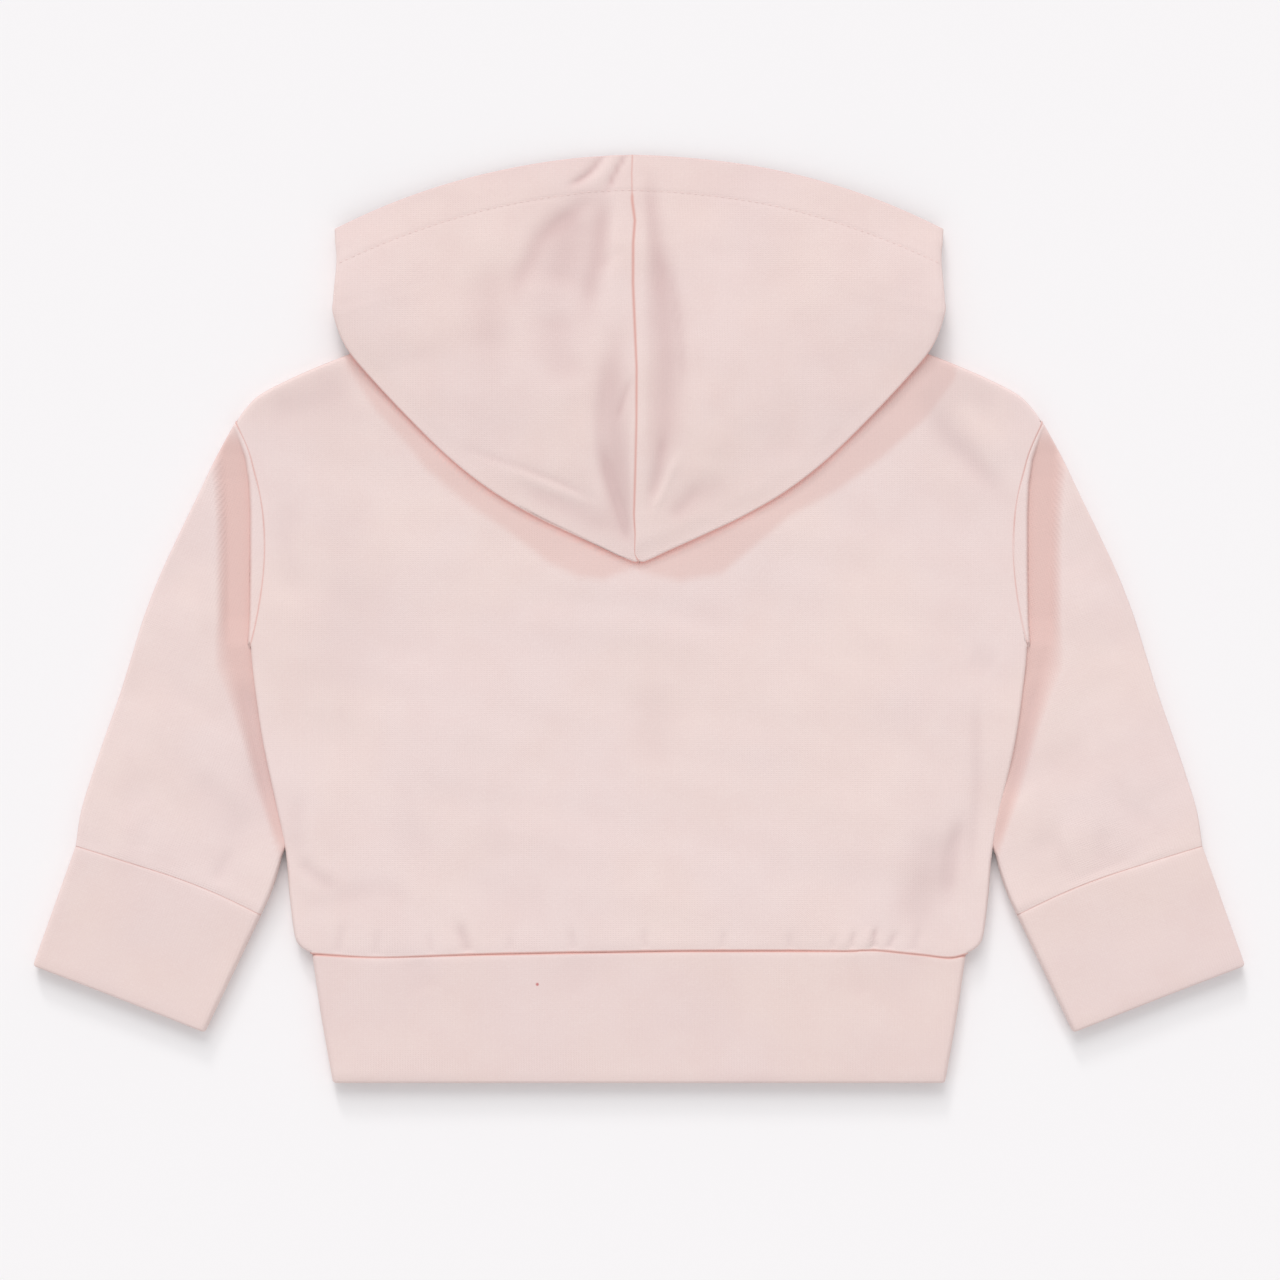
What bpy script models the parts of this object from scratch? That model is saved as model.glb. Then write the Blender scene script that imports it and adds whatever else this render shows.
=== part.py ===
"""Baby's hooded cardigan in fine sweatshirt jersey, laid flat on its front.

Lengths in the tables are millimetres: x from the centre line towards the wearer's right, y up the
garment from hem to hood, z up from the surface it lies on. Every piece is a cloth wall made round
its middle surface, and pieces stand SEAM apart where they are sewn.
"""

import bpy
import numpy as np

MM = 0.001
SEAM = 0.3                      # gap between two pieces that are sewn together
CLOTH = 1.7                     # wall of the single cloth
BAND = 2.4                      # wall of the cuffs and waistband, which are folded double
LAID = 7.0                      # height of the two layers as they lie
LAID_NECK = 4.8                 # the same, pressed down by the hood round the neck
SHELL_PINK = (0.83, 0.66, 0.63, 1.0)

# Outline of the right half. Sides, shoulder, sleeve and bands are points on the cloth's outer edge.
SIDE_SEAM = [(131.0, -133.2), (135.4, -130.6), (137.8, -126.0), (139.8, -110.5), (141.4, -92.5),
             (145.6, -72.0), (150.6, -48.5), (153.8, -28.0), (155.6, -17.5), (155.8, -11.5), (154.6, -6.5),
             (152.4, 0.0)]
ARMHOLE = [(152.4, 0.0), (150.6, 10.0), (149.6, 20.0), (149.6, 30.0), (150.2, 39.5), (152.6, 54.0),
           (156.4, 67.5), (161.2, 78.6)]
SHOULDER = [(68.0, 124.0), (92.0, 115.0), (116.7, 105.6), (136.0, 97.6), (151.0, 90.0), (157.2, 84.2),
            (161.2, 78.6)]
BACK_NECK = [(0.0, 107.0), (20.0, 108.4), (45.0, 113.6), (68.0, 124.0)]
FRONT_NECK = [(0.0, 76.0), (22.0, 80.0), (44.0, 90.5), (60.5, 106.0), (68.0, 124.0)]
HEM_SEAM = [(0.0, -133.2), (60.0, -133.2), (100.0, -133.6), (131.0, -133.2)]
SLEEVE_OUTER = [(161.8, 78.2), (168.8, 65.5), (176.4, 49.5), (184.2, 33.5), (191.6, 17.5), (197.8, 1.5),
                (202.8, -14.5), (207.8, -30.5), (213.4, -46.5), (218.8, -62.5), (223.2, -77.0), (225.3, -90.7)]
SLEEVE_INNER = [(152.4, 0.0), (155.4, -4.5), (156.9, -11.0), (156.6, -18.5), (154.9, -28.0),
                (151.4, -48.5), (146.2, -72.0), (142.4, -89.0), (144.2, -101.0), (147.0, -110.8),
                (151.0, -118.3)]
CUFF_SEAM = [(225.3, -90.7), (204.0, -97.3), (184.0, -103.8), (168.0, -110.2), (151.0, -118.3)]
CUFF_EDGE = [(242.4, -138.6), (208.0, -151.8), (173.6, -165.4)]
BAND_SIDE = [(130.8, -133.8), (127.2, -158.5), (122.4, -185.7)]

# How the edges of the body panels turn.
EDGE_TURN = 2.65                # a sewn edge starts to turn down this far in
ARM_TURN = 6.0                  # the same at the armhole
ARM_DROP = 0.25                 # the armhole's edge lies this much under the panel
ARM_RAMP = 9.0                  # the side's turn dies out along this much of the armhole
NECK_RAMP = 7.0                 # the shoulder's turn dies out along this much of the neck
EDGE_CLEAR = 0.4                # each turned edge stops this far short of the middle height
NECK_CLEAR = 0.7                # further short of it where the hood presses the body down
TURN_STEPS = np.array([1, 2, 3]) / 3.0

# Where each ring of the sleeve meets the outer and the inner outline, as shares of their lengths. The
# rings of the sleeve's head fan out from the armpit.
SLEEVE_RINGS = [(0.0, 0.0), (0.06, 0.03), (0.13, 0.065), (0.2, 0.105), (0.28, 0.15), (0.36, 0.205),
                (0.46, 0.28), (0.56, 0.37), (0.66, 0.48), (0.77, 0.62), (0.88, 0.79), (0.95, 0.92),
                (1.0, 1.0)]
SLEEVE_HEAD = 0.45              # share of the outer outline along which the armhole's curve dies out
ARMPIT_SPARE = 0.5              # the sleeve's edge stands this much further off at the armpit
ARMPIT_RAMP = 16.0              # and that dies out along this much of the armhole
CUFF_RINGS = [(0.0, 0.0), (0.35, 0.35), (0.7, 0.7), (1.0, 1.0)]
ROLL_STEPS = np.radians([0.0, 30.0, 60.0])
VALLEY_DEPTH = 1.3              # the sleeve sinks in a soft valley beside the armhole's seam
VALLEY_PLACE = 11.0
VALLEY_WIDTH = 6.0
STRIP_WIDTH = 5.0               # before the valley it rises from the seam to the seam's allowance

# Spokes of one hood panel: from the neckline under the hood out to the folded edge, then over the top
# to the centre seam. on_back is 1 where the under layer lies on the back, 0 where it lies below.
# columns: neck x, y; way under x, y; fold x, y; way over x, y; crown y; on_back; roll
HOOD_SPOKES = [
    (0.0, 107.0, 0.0, 64.0, 0.0, 22.3, 0.0, 22.3, 22.3, 1.0, 1.9),
    (3.0, 107.0, 3.2, 65.0, 3.2, 22.6, 1.6, 27.0, 29.5, 1.0, 1.9),
    (10.0, 107.4, 11.0, 66.0, 13.0, 27.0, 6.5, 34.0, 40.0, 1.0, 1.9),
    (18.0, 108.2, 20.0, 70.0, 26.6, 33.2, 13.0, 45.0, 53.0, 1.0, 1.9),
    (28.0, 109.6, 32.0, 74.0, 42.4, 40.8, 21.0, 57.0, 67.0, 1.0, 1.9),
    (38.0, 111.6, 46.0, 80.0, 58.8, 50.4, 29.0, 70.0, 82.0, 1.0, 1.9),
    (48.0, 114.6, 60.0, 88.0, 75.1, 63.0, 37.0, 84.0, 98.0, 1.0, 1.9),
    (57.0, 118.4, 73.0, 98.0, 91.4, 78.8, 46.0, 100.0, 114.0, 1.0, 1.9),
    (64.5, 122.2, 85.0, 108.0, 107.7, 96.2, 54.0, 116.0, 129.0, 1.0, 1.9),
    (69.5, 126.0, 94.0, 117.5, 117.4, 108.4, 59.0, 127.0, 139.0, 1.0, 2.0),
    (73.5, 131.5, 97.0, 127.0, 122.2, 121.4, 61.0, 138.0, 149.5, 0.25, 3.0),
    (71.0, 137.0, 93.0, 134.0, 122.1, 127.5, 61.0, 144.0, 155.0, 0.0, 2.8),
    (71.0, 138.9, 94.0, 138.5, 121.7, 133.0, 61.0, 150.0, 160.5, 0.0, 2.7),
    (71.0, 140.8, 95.0, 142.0, 121.2, 138.0, 61.0, 156.0, 166.0, 0.0, 2.65),
    (71.0, 142.7, 95.0, 145.0, 120.9, 142.5, 61.0, 161.5, 171.5, 0.0, 2.65),
    (71.0, 144.6, 95.0, 147.5, 121.0, 146.5, 62.0, 166.5, 176.0, 0.0, 2.65),
    (71.0, 146.5, 95.0, 150.0, 121.4, 150.0, 62.5, 171.5, 179.8, 0.0, 2.65),
    (71.0, 148.4, 95.0, 152.5, 121.6, 153.0, 63.7, 177.0, 183.0, 0.0, 2.65),
    (71.0, 150.3, 95.0, 155.0, 121.8, 156.0, 66.0, 184.2, 185.6, 0.0, 2.65)]
# The rest of the under layer, in front of the neck, starts at the last spokes' necks and goes on in
# rows from the neckline x, y to the edge of the hood's opening x, y.
HOOD_FRONT = [(67.0, 131.0, 56.0, 146.5), (63.0, 122.5, 42.0, 140.5), (60.3, 112.0, 30.0, 132.5),
              (54.5, 101.0, 20.0, 123.0), (43.2, 91.4, 11.5, 111.0), (21.8, 80.8, 4.0, 96.0),
              (0.0, 76.8, 0.0, 84.0)]
UNDER_STEPS = np.linspace(0.0, 1.0, 8)
FOLD_ANGLES = np.radians([30.0, 60.0, 90.0, 120.0, 150.0])
OVER_STEPS = np.array([0.0, 0.05, 0.12, 0.22, 0.35, 0.5, 0.65, 0.8, 0.9, 1.0])
HOOD_CREST = [(22.0, 11.95), (60.0, 11.5), (90.0, 10.0), (106.0, 9.0), (124.0, 8.0), (150.0, 5.6),
              (172.0, 3.6), (186.0, 2.6)]       # y and height of the upper layer down its middle
FOLD_FADE = 60.0                # the folded edge's own height dies out over this distance
UNDER_SPARE = 0.9               # extra room under the hood where the body's height changes


# ---------------------------------------------------------------- curves and surfaces

def smooth(value):
    """Rises from 0 to 1 with level ends."""
    value = np.clip(value, 0.0, 1.0)
    return value * value * (3.0 - 2.0 * value)


def spline(knots, count=60):
    """Catmull-Rom curve through the knots, with count points in equal steps along the chord."""
    knots = np.asarray(knots, float)
    ends = np.vstack([2 * knots[0] - knots[1], knots, 2 * knots[-1] - knots[-2]])
    along = np.concatenate([[0.0], np.cumsum(np.linalg.norm(np.diff(knots, axis=0), axis=1))])
    place = np.interp(np.linspace(0.0, along[-1], count), along, np.arange(len(knots)))
    cell = np.minimum(place.astype(int), len(knots) - 2)
    t = (place - cell)[:, None]
    a, b, c, d = (ends[cell + k] for k in range(4))
    return 0.5 * (2 * b + (c - a) * t + (2 * a - 5 * b + 4 * c - d) * t**2 + (3 * b - a - 3 * c + d) * t**3)


def shifted(curve, distance):
    """The curve moved to its left by distance, one value or one for each point, square to its own run."""
    run = np.gradient(curve, axis=0)
    run /= np.linalg.norm(run, axis=1)[:, None]
    return curve + np.reshape(distance, (-1, 1)) * np.column_stack([-run[:, 1], run[:, 0]])


def length(curve):
    return np.linalg.norm(np.diff(curve, axis=0), axis=1).sum()


def at(curve, share):
    """Points of a curve at shares of its length, for an array of any shape."""
    step = np.linalg.norm(np.diff(curve, axis=0), axis=1)
    along = np.concatenate([[0.0], np.cumsum(step)]) / step.sum()
    return np.stack([np.interp(share, along, curve[:, k]) for k in range(2)], axis=-1)


def trimmed(curve, first, last):
    """The curve without a first and a last length of it."""
    whole = length(curve)
    return at(curve, np.linspace(first / whole, 1.0 - last / whole, len(curve)))


def patch(hem, top, centre, side, u, v):
    """Coons patch: u runs along hem and top, v along centre and side."""
    a, b = u[..., None], v[..., None]
    corners = (1 - a) * (1 - b) * hem[0] + a * (1 - b) * hem[-1] + (1 - a) * b * top[0] + a * b * top[-1]
    return (1 - b) * at(hem, u) + b * at(top, u) + (1 - a) * at(centre, v) + a * at(side, v) - corners


def bow(start, way, end, share):
    """Parabolas from start to end, drawn towards way: a row for each start, a column for each share."""
    s = share[None, :, None]
    return (1 - s) ** 2 * start[:, None] + 2 * s * (1 - s) * way[:, None] + s**2 * end[:, None]


def mirrored(grid):
    """The same points on the wearer's left."""
    return grid * np.array([-1.0, 1.0, 1.0])


# ---------------------------------------------------------------- cloth

def jersey(name):
    """Pale pink sweatshirt jersey."""
    material = bpy.data.materials.new(name + " jersey")
    material.use_nodes = True
    shader = material.node_tree.nodes["Principled BSDF"]
    shader.inputs["Base Color"].default_value = SHELL_PINK
    shader.inputs["Roughness"].default_value = 0.9
    shader.inputs["Metallic"].default_value = 0.0
    return material


def cloth_piece(name, grids, wall, around=False, flip=False):
    """One cloth wall round grids of middle points (rows, columns, xyz), each closed round if around."""
    faces = []
    first = 0
    for grid in grids:
        corner = first + np.arange(grid.shape[0] * grid.shape[1]).reshape(grid.shape[:2])
        first += corner.size
        if around:
            corner = np.column_stack([corner, corner[:, 0]])
        cells = np.stack([corner[:-1, :-1], corner[:-1, 1:], corner[1:, 1:], corner[1:, :-1]], axis=-1)
        faces += cells.reshape(-1, 4)[:, ::-1 if flip else 1].tolist()
    points = np.concatenate([grid.reshape(-1, 3) for grid in grids])
    mesh = bpy.data.meshes.new(name)
    mesh.from_pydata((points * MM).tolist(), [], faces)
    piece = bpy.data.objects.new(name, mesh)
    bpy.context.scene.collection.objects.link(piece)
    weld = piece.modifiers.new("join points that meet", "WELD")
    weld.merge_threshold = 0.00002
    thick = piece.modifiers.new("cloth wall", "SOLIDIFY")
    thick.thickness = wall * MM
    thick.offset = 0.0
    mesh.shade_smooth()
    mesh.materials.append(jersey(name))


def laid_height(x, y):
    """Height of the laid body: LAID, pressed down to LAID_NECK round the neck."""
    radius = np.hypot(x / 70.0, (y - 120.0) / 35.0)
    return LAID - (LAID - LAID_NECK) * smooth(1.9 - radius)


# ---------------------------------------------------------------- body

def body_outline(neck):
    """Hem, top edge, centre line, and side with armhole, round the middle surface of the right half."""
    armhole = trimmed(spline(ARMHOLE), 0.0, CLOTH / 2)
    open_edge = smooth(np.linspace(0.0, length(armhole), len(armhole)) / ARM_RAMP)
    room = CLOTH / 2 + (SEAM - CLOTH) / 2 * open_edge
    side = np.vstack([shifted(spline(SIDE_SEAM), CLOTH / 2), shifted(armhole, room)])
    top = np.vstack([spline(neck), shifted(spline(SHOULDER), -CLOTH / 2)])
    hem = shifted(spline(HEM_SEAM), SEAM / 2)
    hem[0, 0] = 0.0
    side[0], top[-1] = hem[-1], side[-1]
    centre = np.linspace(hem[0], top[0], 20)
    return hem, top, centre, side


def edge_shares(inner, fixed, width, reach, angle):
    """For each line across the panel, shares along it whose last steps turn down within reach of its end.

    The inner shares past fixed are drawn in to make room.
    """
    sines = np.sin(TURN_STEPS[None, :] * angle[:, None]) / np.sin(angle)[:, None]
    reach = (reach / width)[:, None]
    drawn_in = inner[None, :] - np.maximum(inner - fixed, 0.0)[None, :] * reach / (1 - fixed)
    return np.hstack([drawn_in, 1 - reach * (1 - sines)])


def sink(way, angle):
    """Share of an edge's full fall at each way round its turn, for a turn through angle."""
    return (1 - np.cos(way * angle)) / (1 - np.cos(angle))


def body_half(neck, lower):
    """Middle points of the right half of the back, or if lower of the right front, rows from hem to top."""
    hem, top, centre, side = body_outline(neck)
    neck_end = length(spline(neck)) / length(top)
    armpit = length(spline(SIDE_SEAM)) / length(side)
    column = np.concatenate([np.linspace(0.0, neck_end, 5), np.linspace(neck_end, 1.0, 7)[1:]])
    row = np.concatenate([[0.0, 0.016, 0.05], np.linspace(0.11, armpit - 0.1, 3),
                          armpit + np.array([-0.065, -0.04, -0.02, 0.0, 0.018, 0.045]),
                          np.linspace(armpit + 0.09, 1.0, 6)])
    # arm: 0 on the rows of the side seam, 1 on those of the armhole.
    arm = smooth((row - armpit) * length(side) / ARM_RAMP)
    side_reach = EDGE_TURN + (ARM_TURN - EDGE_TURN) * arm
    side_angle = np.radians(90.0 - 40.0 * arm)
    arm_fall = ARM_DROP * arm * (1 - smooth((row - 0.9) / 0.1))
    # sewn: 1 on the columns of the shoulder, 0 on those of the neck.
    sewn = smooth(1 + (column - neck_end) * length(top) / NECK_RAMP)
    top_angle = np.radians(30.0 + 60.0 * sewn)

    width = at(side, row)[:, 0]
    height = (at(top, column) - at(hem, column))[:, 1]
    steps = len(TURN_STEPS)
    u = edge_shares(column, neck_end, width, side_reach, side_angle)
    v = edge_shares(row, armpit, height, np.full(len(column), EDGE_TURN), top_angle).T
    u = np.pad(u, ((0, steps), (0, 0)), mode="edge")
    v = np.pad(v, ((0, 0), (0, steps)), mode="edge")
    plan = patch(hem, top, centre, side, u, v)

    thick = laid_height(plan[..., 0], plan[..., 1])
    turn = (thick - CLOTH) / 2 - EDGE_CLEAR - NECK_CLEAR * (LAID - thick) / (LAID - LAID_NECK)
    arm, side_angle = (np.pad(values, (0, steps), mode="edge")[:, None] for values in (arm, side_angle))
    arm_fall = np.pad(arm_fall, (0, steps))[:, None]
    sewn, top_angle = (np.pad(values, (0, steps), mode="edge")[None, :] for values in (sewn, top_angle))
    side_way = np.concatenate([np.zeros(len(column)), TURN_STEPS])[None, :]
    top_way = np.concatenate([np.zeros(len(row)), TURN_STEPS])[:, None]
    side_fall = sink(side_way, side_angle) * (turn * (1 - arm) + arm_fall)
    top_fall = sink(top_way, top_angle) * turn * sewn
    fall = np.minimum(side_fall + top_fall, turn)
    z = CLOTH / 2 + fall if lower else thick - CLOTH / 2 - fall
    return np.dstack([plan, z])


def make_back():
    half = body_half(BACK_NECK, lower=False)
    cloth_piece("back", [np.concatenate([mirrored(half)[:, :0:-1], half], axis=1)], CLOTH)


def make_fronts():
    half = body_half(FRONT_NECK, lower=True)
    half[:, 0, 0] += SEAM / 2
    cloth_piece("front_right", [half], CLOTH, flip=True)
    cloth_piece("front_left", [mirrored(half)], CLOTH)


# ---------------------------------------------------------------- sleeves and cuffs

def tube(ends, outlines, rings, fade, grow, inner_reach, wall, flat_points):
    """Flat tube, ring by ring: middle points, and for each point of a ring its side (-1 below to 1 above).

    A ring is a chord between the two outlines, bent like the first end by fade and like the last by grow.
    """
    outer, inner = (at(outline, rings[:, k]) for k, outline in enumerate(outlines))
    width = np.linalg.norm(outer - inner, axis=1)[:, None]
    half = (LAID - wall) / 2
    rolls = (1 - np.cos(ROLL_STEPS))[None, :]
    first, last = half / width, 1 - inner_reach[:, None] / width
    flat = first + (last - first) * np.linspace(0.0, 1.0, flat_points)[None, :]
    upper = np.hstack([rolls * first, flat, 1 - rolls[:, ::-1] * (1 - last)])
    u = np.hstack([upper, upper[:, -2:0:-1]])
    side = np.concatenate([np.sin(ROLL_STEPS), np.ones(flat_points), np.sin(ROLL_STEPS)[::-1]])
    side = np.concatenate([side, -side[-2:0:-1]])

    across = u[..., None]
    plan = outer[:, None] * (1 - across) + inner[:, None] * across
    for end, share in zip(ends, (fade, grow)):
        chord = end[0] * (1 - across) + end[-1] * across
        plan += share[:, None, None] * (at(end, u) - chord)
    z = LAID / 2 + half * np.broadcast_to(side, u.shape)
    return np.dstack([plan, z]), side


def tube_outline(start, end, outer, inner, wall):
    """Ends and outlines of a flat tube's middle surface, joined at the four corners."""
    outer, inner = shifted(outer, -wall / 2), shifted(inner, wall / 2)
    outer[0], outer[-1] = start[0], end[0]
    inner[0], inner[-1] = start[-1], end[-1]
    return (start, end), (outer, inner)


def sleeve_grid():
    armhole = trimmed(spline(ARMHOLE)[::-1], CLOTH / 2, 0.0)
    wrist = trimmed(shifted(spline(CUFF_SEAM), -SEAM / 2), CLOTH / 2, CLOTH / 2)
    under_arm = shifted(spline(SLEEVE_INNER), SEAM)
    to_armpit = length(armhole) * np.linspace(1.0, 0.0, len(armhole))
    apart = SEAM / 2 + ARMPIT_SPARE * (1 - smooth(to_armpit / ARMPIT_RAMP))
    start = np.vstack([shifted(armhole, apart)[:-1], under_arm[0] + (CLOTH / 2, 0.0)])
    ends, outlines = tube_outline(start, wrist, spline(SLEEVE_OUTER), under_arm, CLOTH)
    rings = np.array(SLEEVE_RINGS)
    head = smooth(rings[:, 0] / SLEEVE_HEAD)
    half = (LAID - CLOTH) / 2
    reach = half + (ARM_RAMP - half) * (1 - head)
    fade = (1 - np.minimum(rings[:, 0] / SLEEVE_HEAD, 1.0)) ** 2
    grid, side = tube(ends, outlines, rings, fade, rings[:, 0] ** 3, reach, CLOTH, flat_points=7)
    away = np.linalg.norm(grid[:, :, None, :2] - armhole, axis=3).min(axis=2)
    strip = ARM_DROP * (1 - smooth(away / STRIP_WIDTH))
    valley = VALLEY_DEPTH * np.exp(-(((away - VALLEY_PLACE) / VALLEY_WIDTH) ** 2))
    grid[..., 2] -= (strip + valley) * np.clip(side, 0.0, 1.0)[None, :] ** 2
    return grid


def cuff_grid():
    straight = [np.linspace(CUFF_SEAM[k], CUFF_EDGE[k], 10) for k in (0, -1)]
    wrist = trimmed(shifted(spline(CUFF_SEAM), SEAM / 2), BAND / 2, BAND / 2)
    edge = trimmed(spline(CUFF_EDGE), BAND / 2, BAND / 2)
    ends, outlines = tube_outline(wrist, edge, *straight, BAND)
    rings = np.array(CUFF_RINGS)
    reach = np.full(len(rings), (LAID - BAND) / 2)
    return tube(ends, outlines, rings, 1 - rings[:, 0], rings[:, 0], reach, BAND, flat_points=7)[0]


def make_sleeves():
    for name, grid, wall in (("sleeve", sleeve_grid(), CLOTH), ("cuff", cuff_grid(), BAND)):
        cloth_piece(name + "_right", [grid], wall, around=True)
        cloth_piece(name + "_left", [mirrored(grid)], wall, around=True, flip=True)


# ---------------------------------------------------------------- waistband

def make_waistband():
    """One strip from the centre front round the back to the centre front, in rows from seam to hem."""
    half = (LAID - BAND) / 2
    reach = at(shifted(spline(BAND_SIDE), -BAND / 2), np.linspace(0.0, 1.0, 5))
    across = np.linspace(0.0, 1.0, 9)
    turn = np.radians(np.arange(-60.0, 61.0, 30.0))
    flat = (reach[:, :1] - half) * across[None, :]
    x = np.hstack([flat, reach[:, :1] - half + half * np.cos(turn)[None, :], flat[:, ::-1]])
    x[:, 0] = SEAM / 2
    side = np.concatenate([-np.ones(len(across)), np.sin(turn), np.ones(len(across))])
    y = np.broadcast_to(reach[:, 1:], x.shape).copy()
    y[0] -= SEAM / 2
    right = np.dstack([x, y, np.broadcast_to(LAID / 2 + half * side, x.shape)])
    cloth_piece("waistband", [np.concatenate([right, mirrored(right)[:, -2::-1]], axis=1)], BAND, flip=True)


# ---------------------------------------------------------------- hood

def outwards(fold):
    """Unit direction out of the folded edge at each spoke, straight down at the hood's tip."""
    run = np.gradient(fold, axis=0)
    run[0] = (1.0, 0.0)
    run /= np.linalg.norm(run, axis=1)[:, None]
    return np.column_stack([run[:, 1], -run[:, 0]])


def under_height(x, y, on_back):
    """Middle height of the hood's under layer, on the back or on the surface below."""
    thick = laid_height(x, y)
    slope = (LAID - thick) / (LAID - LAID_NECK)
    on_top = thick + SEAM + CLOTH / 2 + UNDER_SPARE * np.minimum(1.0, 8 * slope * (1 - slope))
    return on_back * on_top + (1 - on_back) * CLOTH / 2


def hood_grids():
    """Middle points of the right hood panel: the spokes, neckline to centre seam, and the part in front."""
    spokes = np.array(HOOD_SPOKES)
    neck, under, fold, over = (spokes[:, k:k + 2] for k in (0, 2, 4, 6))
    crown = np.column_stack([np.zeros(len(spokes)), spokes[:, 8]])
    on_back, roll = spokes[:, 9:10], spokes[:, 10:11]
    out = outwards(fold)
    rim = fold - out * (roll + CLOTH / 2)
    over[0] = crown[0] = rim[0]

    below = bow(neck, under, rim, UNDER_STEPS)
    turn = rim[:, None] + out[:, None] * (roll * np.sin(FOLD_ANGLES)[None, :])[..., None]
    above = bow(rim, over, crown, OVER_STEPS)
    z_below = under_height(below[..., 0], below[..., 1], on_back)
    z_rim = z_below[:, -1:]
    z_turn = z_rim + roll * (1 - np.cos(FOLD_ANGLES))[None, :]
    crest_y, crest_z = np.array(HOOD_CREST).T
    crest = np.interp(above[..., 1], crest_y, crest_z)
    from_fold = np.linalg.norm(above - rim[:, None], axis=2)
    z_above = crest + (z_rim + 2 * roll - crest[:, :1]) * (1 - smooth(from_fold / FOLD_FADE))

    grid = np.dstack([np.concatenate([below, turn, above], axis=1), np.hstack([z_below, z_turn, z_above])])
    front = np.array(HOOD_FRONT)
    start, end = front[:, :2], front[:, 2:]
    front = bow(start, (start + end) / 2, end, UNDER_STEPS)
    front = np.dstack([front, np.full(front.shape[:2], CLOTH / 2)])
    grids = [grid, np.concatenate([grid[None, -len(UNDER_STEPS):, 0], front])]
    for points in grids:
        points[..., 0] += SEAM / 2 * (1 - smooth(points[..., 0] / 40.0))
    return grids


def make_hood():
    grids = hood_grids()
    cloth_piece("hood_right", grids, CLOTH, flip=True)
    cloth_piece("hood_left", [mirrored(grid) for grid in grids], CLOTH)


def main():
    for old in list(bpy.data.objects):
        bpy.data.objects.remove(old)
    make_back()
    make_fronts()
    make_sleeves()
    make_waistband()
    make_hood()


main()
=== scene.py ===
"""Baby's hooded cardigan in pale pink loopback jersey, laid flat on its front, under soft light.

Lengths are millimetres in the tables and in every function that works out a shape; x runs towards the
wearer's right, y from the waistband to the hood and z up from the surface. Each piece of cloth is a
middle surface on a grid of two parameters, and Solidify gives it a wall with a rounded edge.
"""

import logging
import math
from dataclasses import dataclass
from enum import Enum

import bpy
import numpy as np
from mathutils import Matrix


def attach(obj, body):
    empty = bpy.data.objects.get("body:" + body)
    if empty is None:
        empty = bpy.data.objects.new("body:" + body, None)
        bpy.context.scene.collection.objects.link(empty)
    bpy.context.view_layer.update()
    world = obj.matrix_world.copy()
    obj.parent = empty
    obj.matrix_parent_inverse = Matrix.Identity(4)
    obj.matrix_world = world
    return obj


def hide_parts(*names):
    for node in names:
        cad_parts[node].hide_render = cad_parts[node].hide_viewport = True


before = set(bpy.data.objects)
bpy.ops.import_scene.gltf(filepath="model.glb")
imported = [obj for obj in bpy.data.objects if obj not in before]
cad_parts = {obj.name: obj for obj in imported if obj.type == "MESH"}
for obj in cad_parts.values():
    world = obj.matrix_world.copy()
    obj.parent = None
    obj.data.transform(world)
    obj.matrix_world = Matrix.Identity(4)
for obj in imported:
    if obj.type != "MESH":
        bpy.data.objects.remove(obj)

MM = 0.001
LOG = logging.getLogger("cardigan")

Array = np.ndarray
Pairs = tuple[tuple[float, float], ...]
Row = tuple[float, ...]
Colour = tuple[float, float, float, float]


class Side(Enum):
    """One side of the garment; the value is the sign of x there."""

    LEFT = -1.0
    RIGHT = 1.0

    def word(self) -> str:
        """The side's name as the pieces carry it."""
        return self.name.lower()


class Edge(Enum):
    """The four borders of a grid of points."""

    FIRST_ROW = 0
    LAST_ROW = 1
    FIRST_COLUMN = 2
    LAST_COLUMN = 3


ENDS = (Edge.FIRST_ROW, Edge.LAST_ROW)
BORDERS = tuple(Edge)


# ------------------------------------------------------------------------------------ curves


def smooth(value: Array) -> Array:
    """Rises from 0 to 1 with level ends, as 3 v^2 - 2 v^3."""
    value = np.clip(value, 0.0, 1.0)
    return value * value * (3.0 - 2.0 * value)


def catmull(knots: Array, place: Array) -> Array:
    """Catmull-Rom curve through knots.

    Args:
        knots: one row for each knot, any number of columns.
        place: where to read it, counted in knots from 0.

    Returns:
        One row for each place: half of 2 b + (c - a) t + (2 a - 5 b + 4 c - d) t^2 + (3 b - a - 3 c + d) t^3.
    """
    ends = np.vstack([2 * knots[0] - knots[1], knots, 2 * knots[-1] - knots[-2]])
    cell = np.minimum(place.astype(int), len(knots) - 2)
    t = (place - cell)[:, None]
    a, b, c, d = (ends[cell + k] for k in range(4))
    return 0.5 * (2 * b + (c - a) * t + (2 * a - 5 * b + 4 * c - d) * t**2 + (3 * b - a - 3 * c + d) * t**3)


def curve(knots: Pairs, count: int = 400) -> Array:
    """A plan curve through the knots.

    Args:
        knots: x and y of each knot.
        count: points along it, in equal steps of chord length.

    Returns:
        The curve's points, (count, 2).
    """
    points = np.asarray(knots, float)
    chord = np.concatenate([[0.0], np.cumsum(np.linalg.norm(np.diff(points, axis=0), axis=1))])
    return catmull(points, np.interp(np.linspace(0.0, chord[-1], count), chord, np.arange(len(points))))


def shifted(line: Array, distance: float | Array) -> Array:
    """The line moved to its left by distance, square to its own run."""
    run = np.gradient(line, axis=0)
    run /= np.linalg.norm(run, axis=1)[:, None]
    return line + np.reshape(distance, (-1, 1)) * np.column_stack([-run[:, 1], run[:, 0]])


def length_of(line: Array) -> float:
    """Length of a line of points."""
    return float(np.linalg.norm(np.diff(line, axis=0), axis=1).sum())


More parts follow.
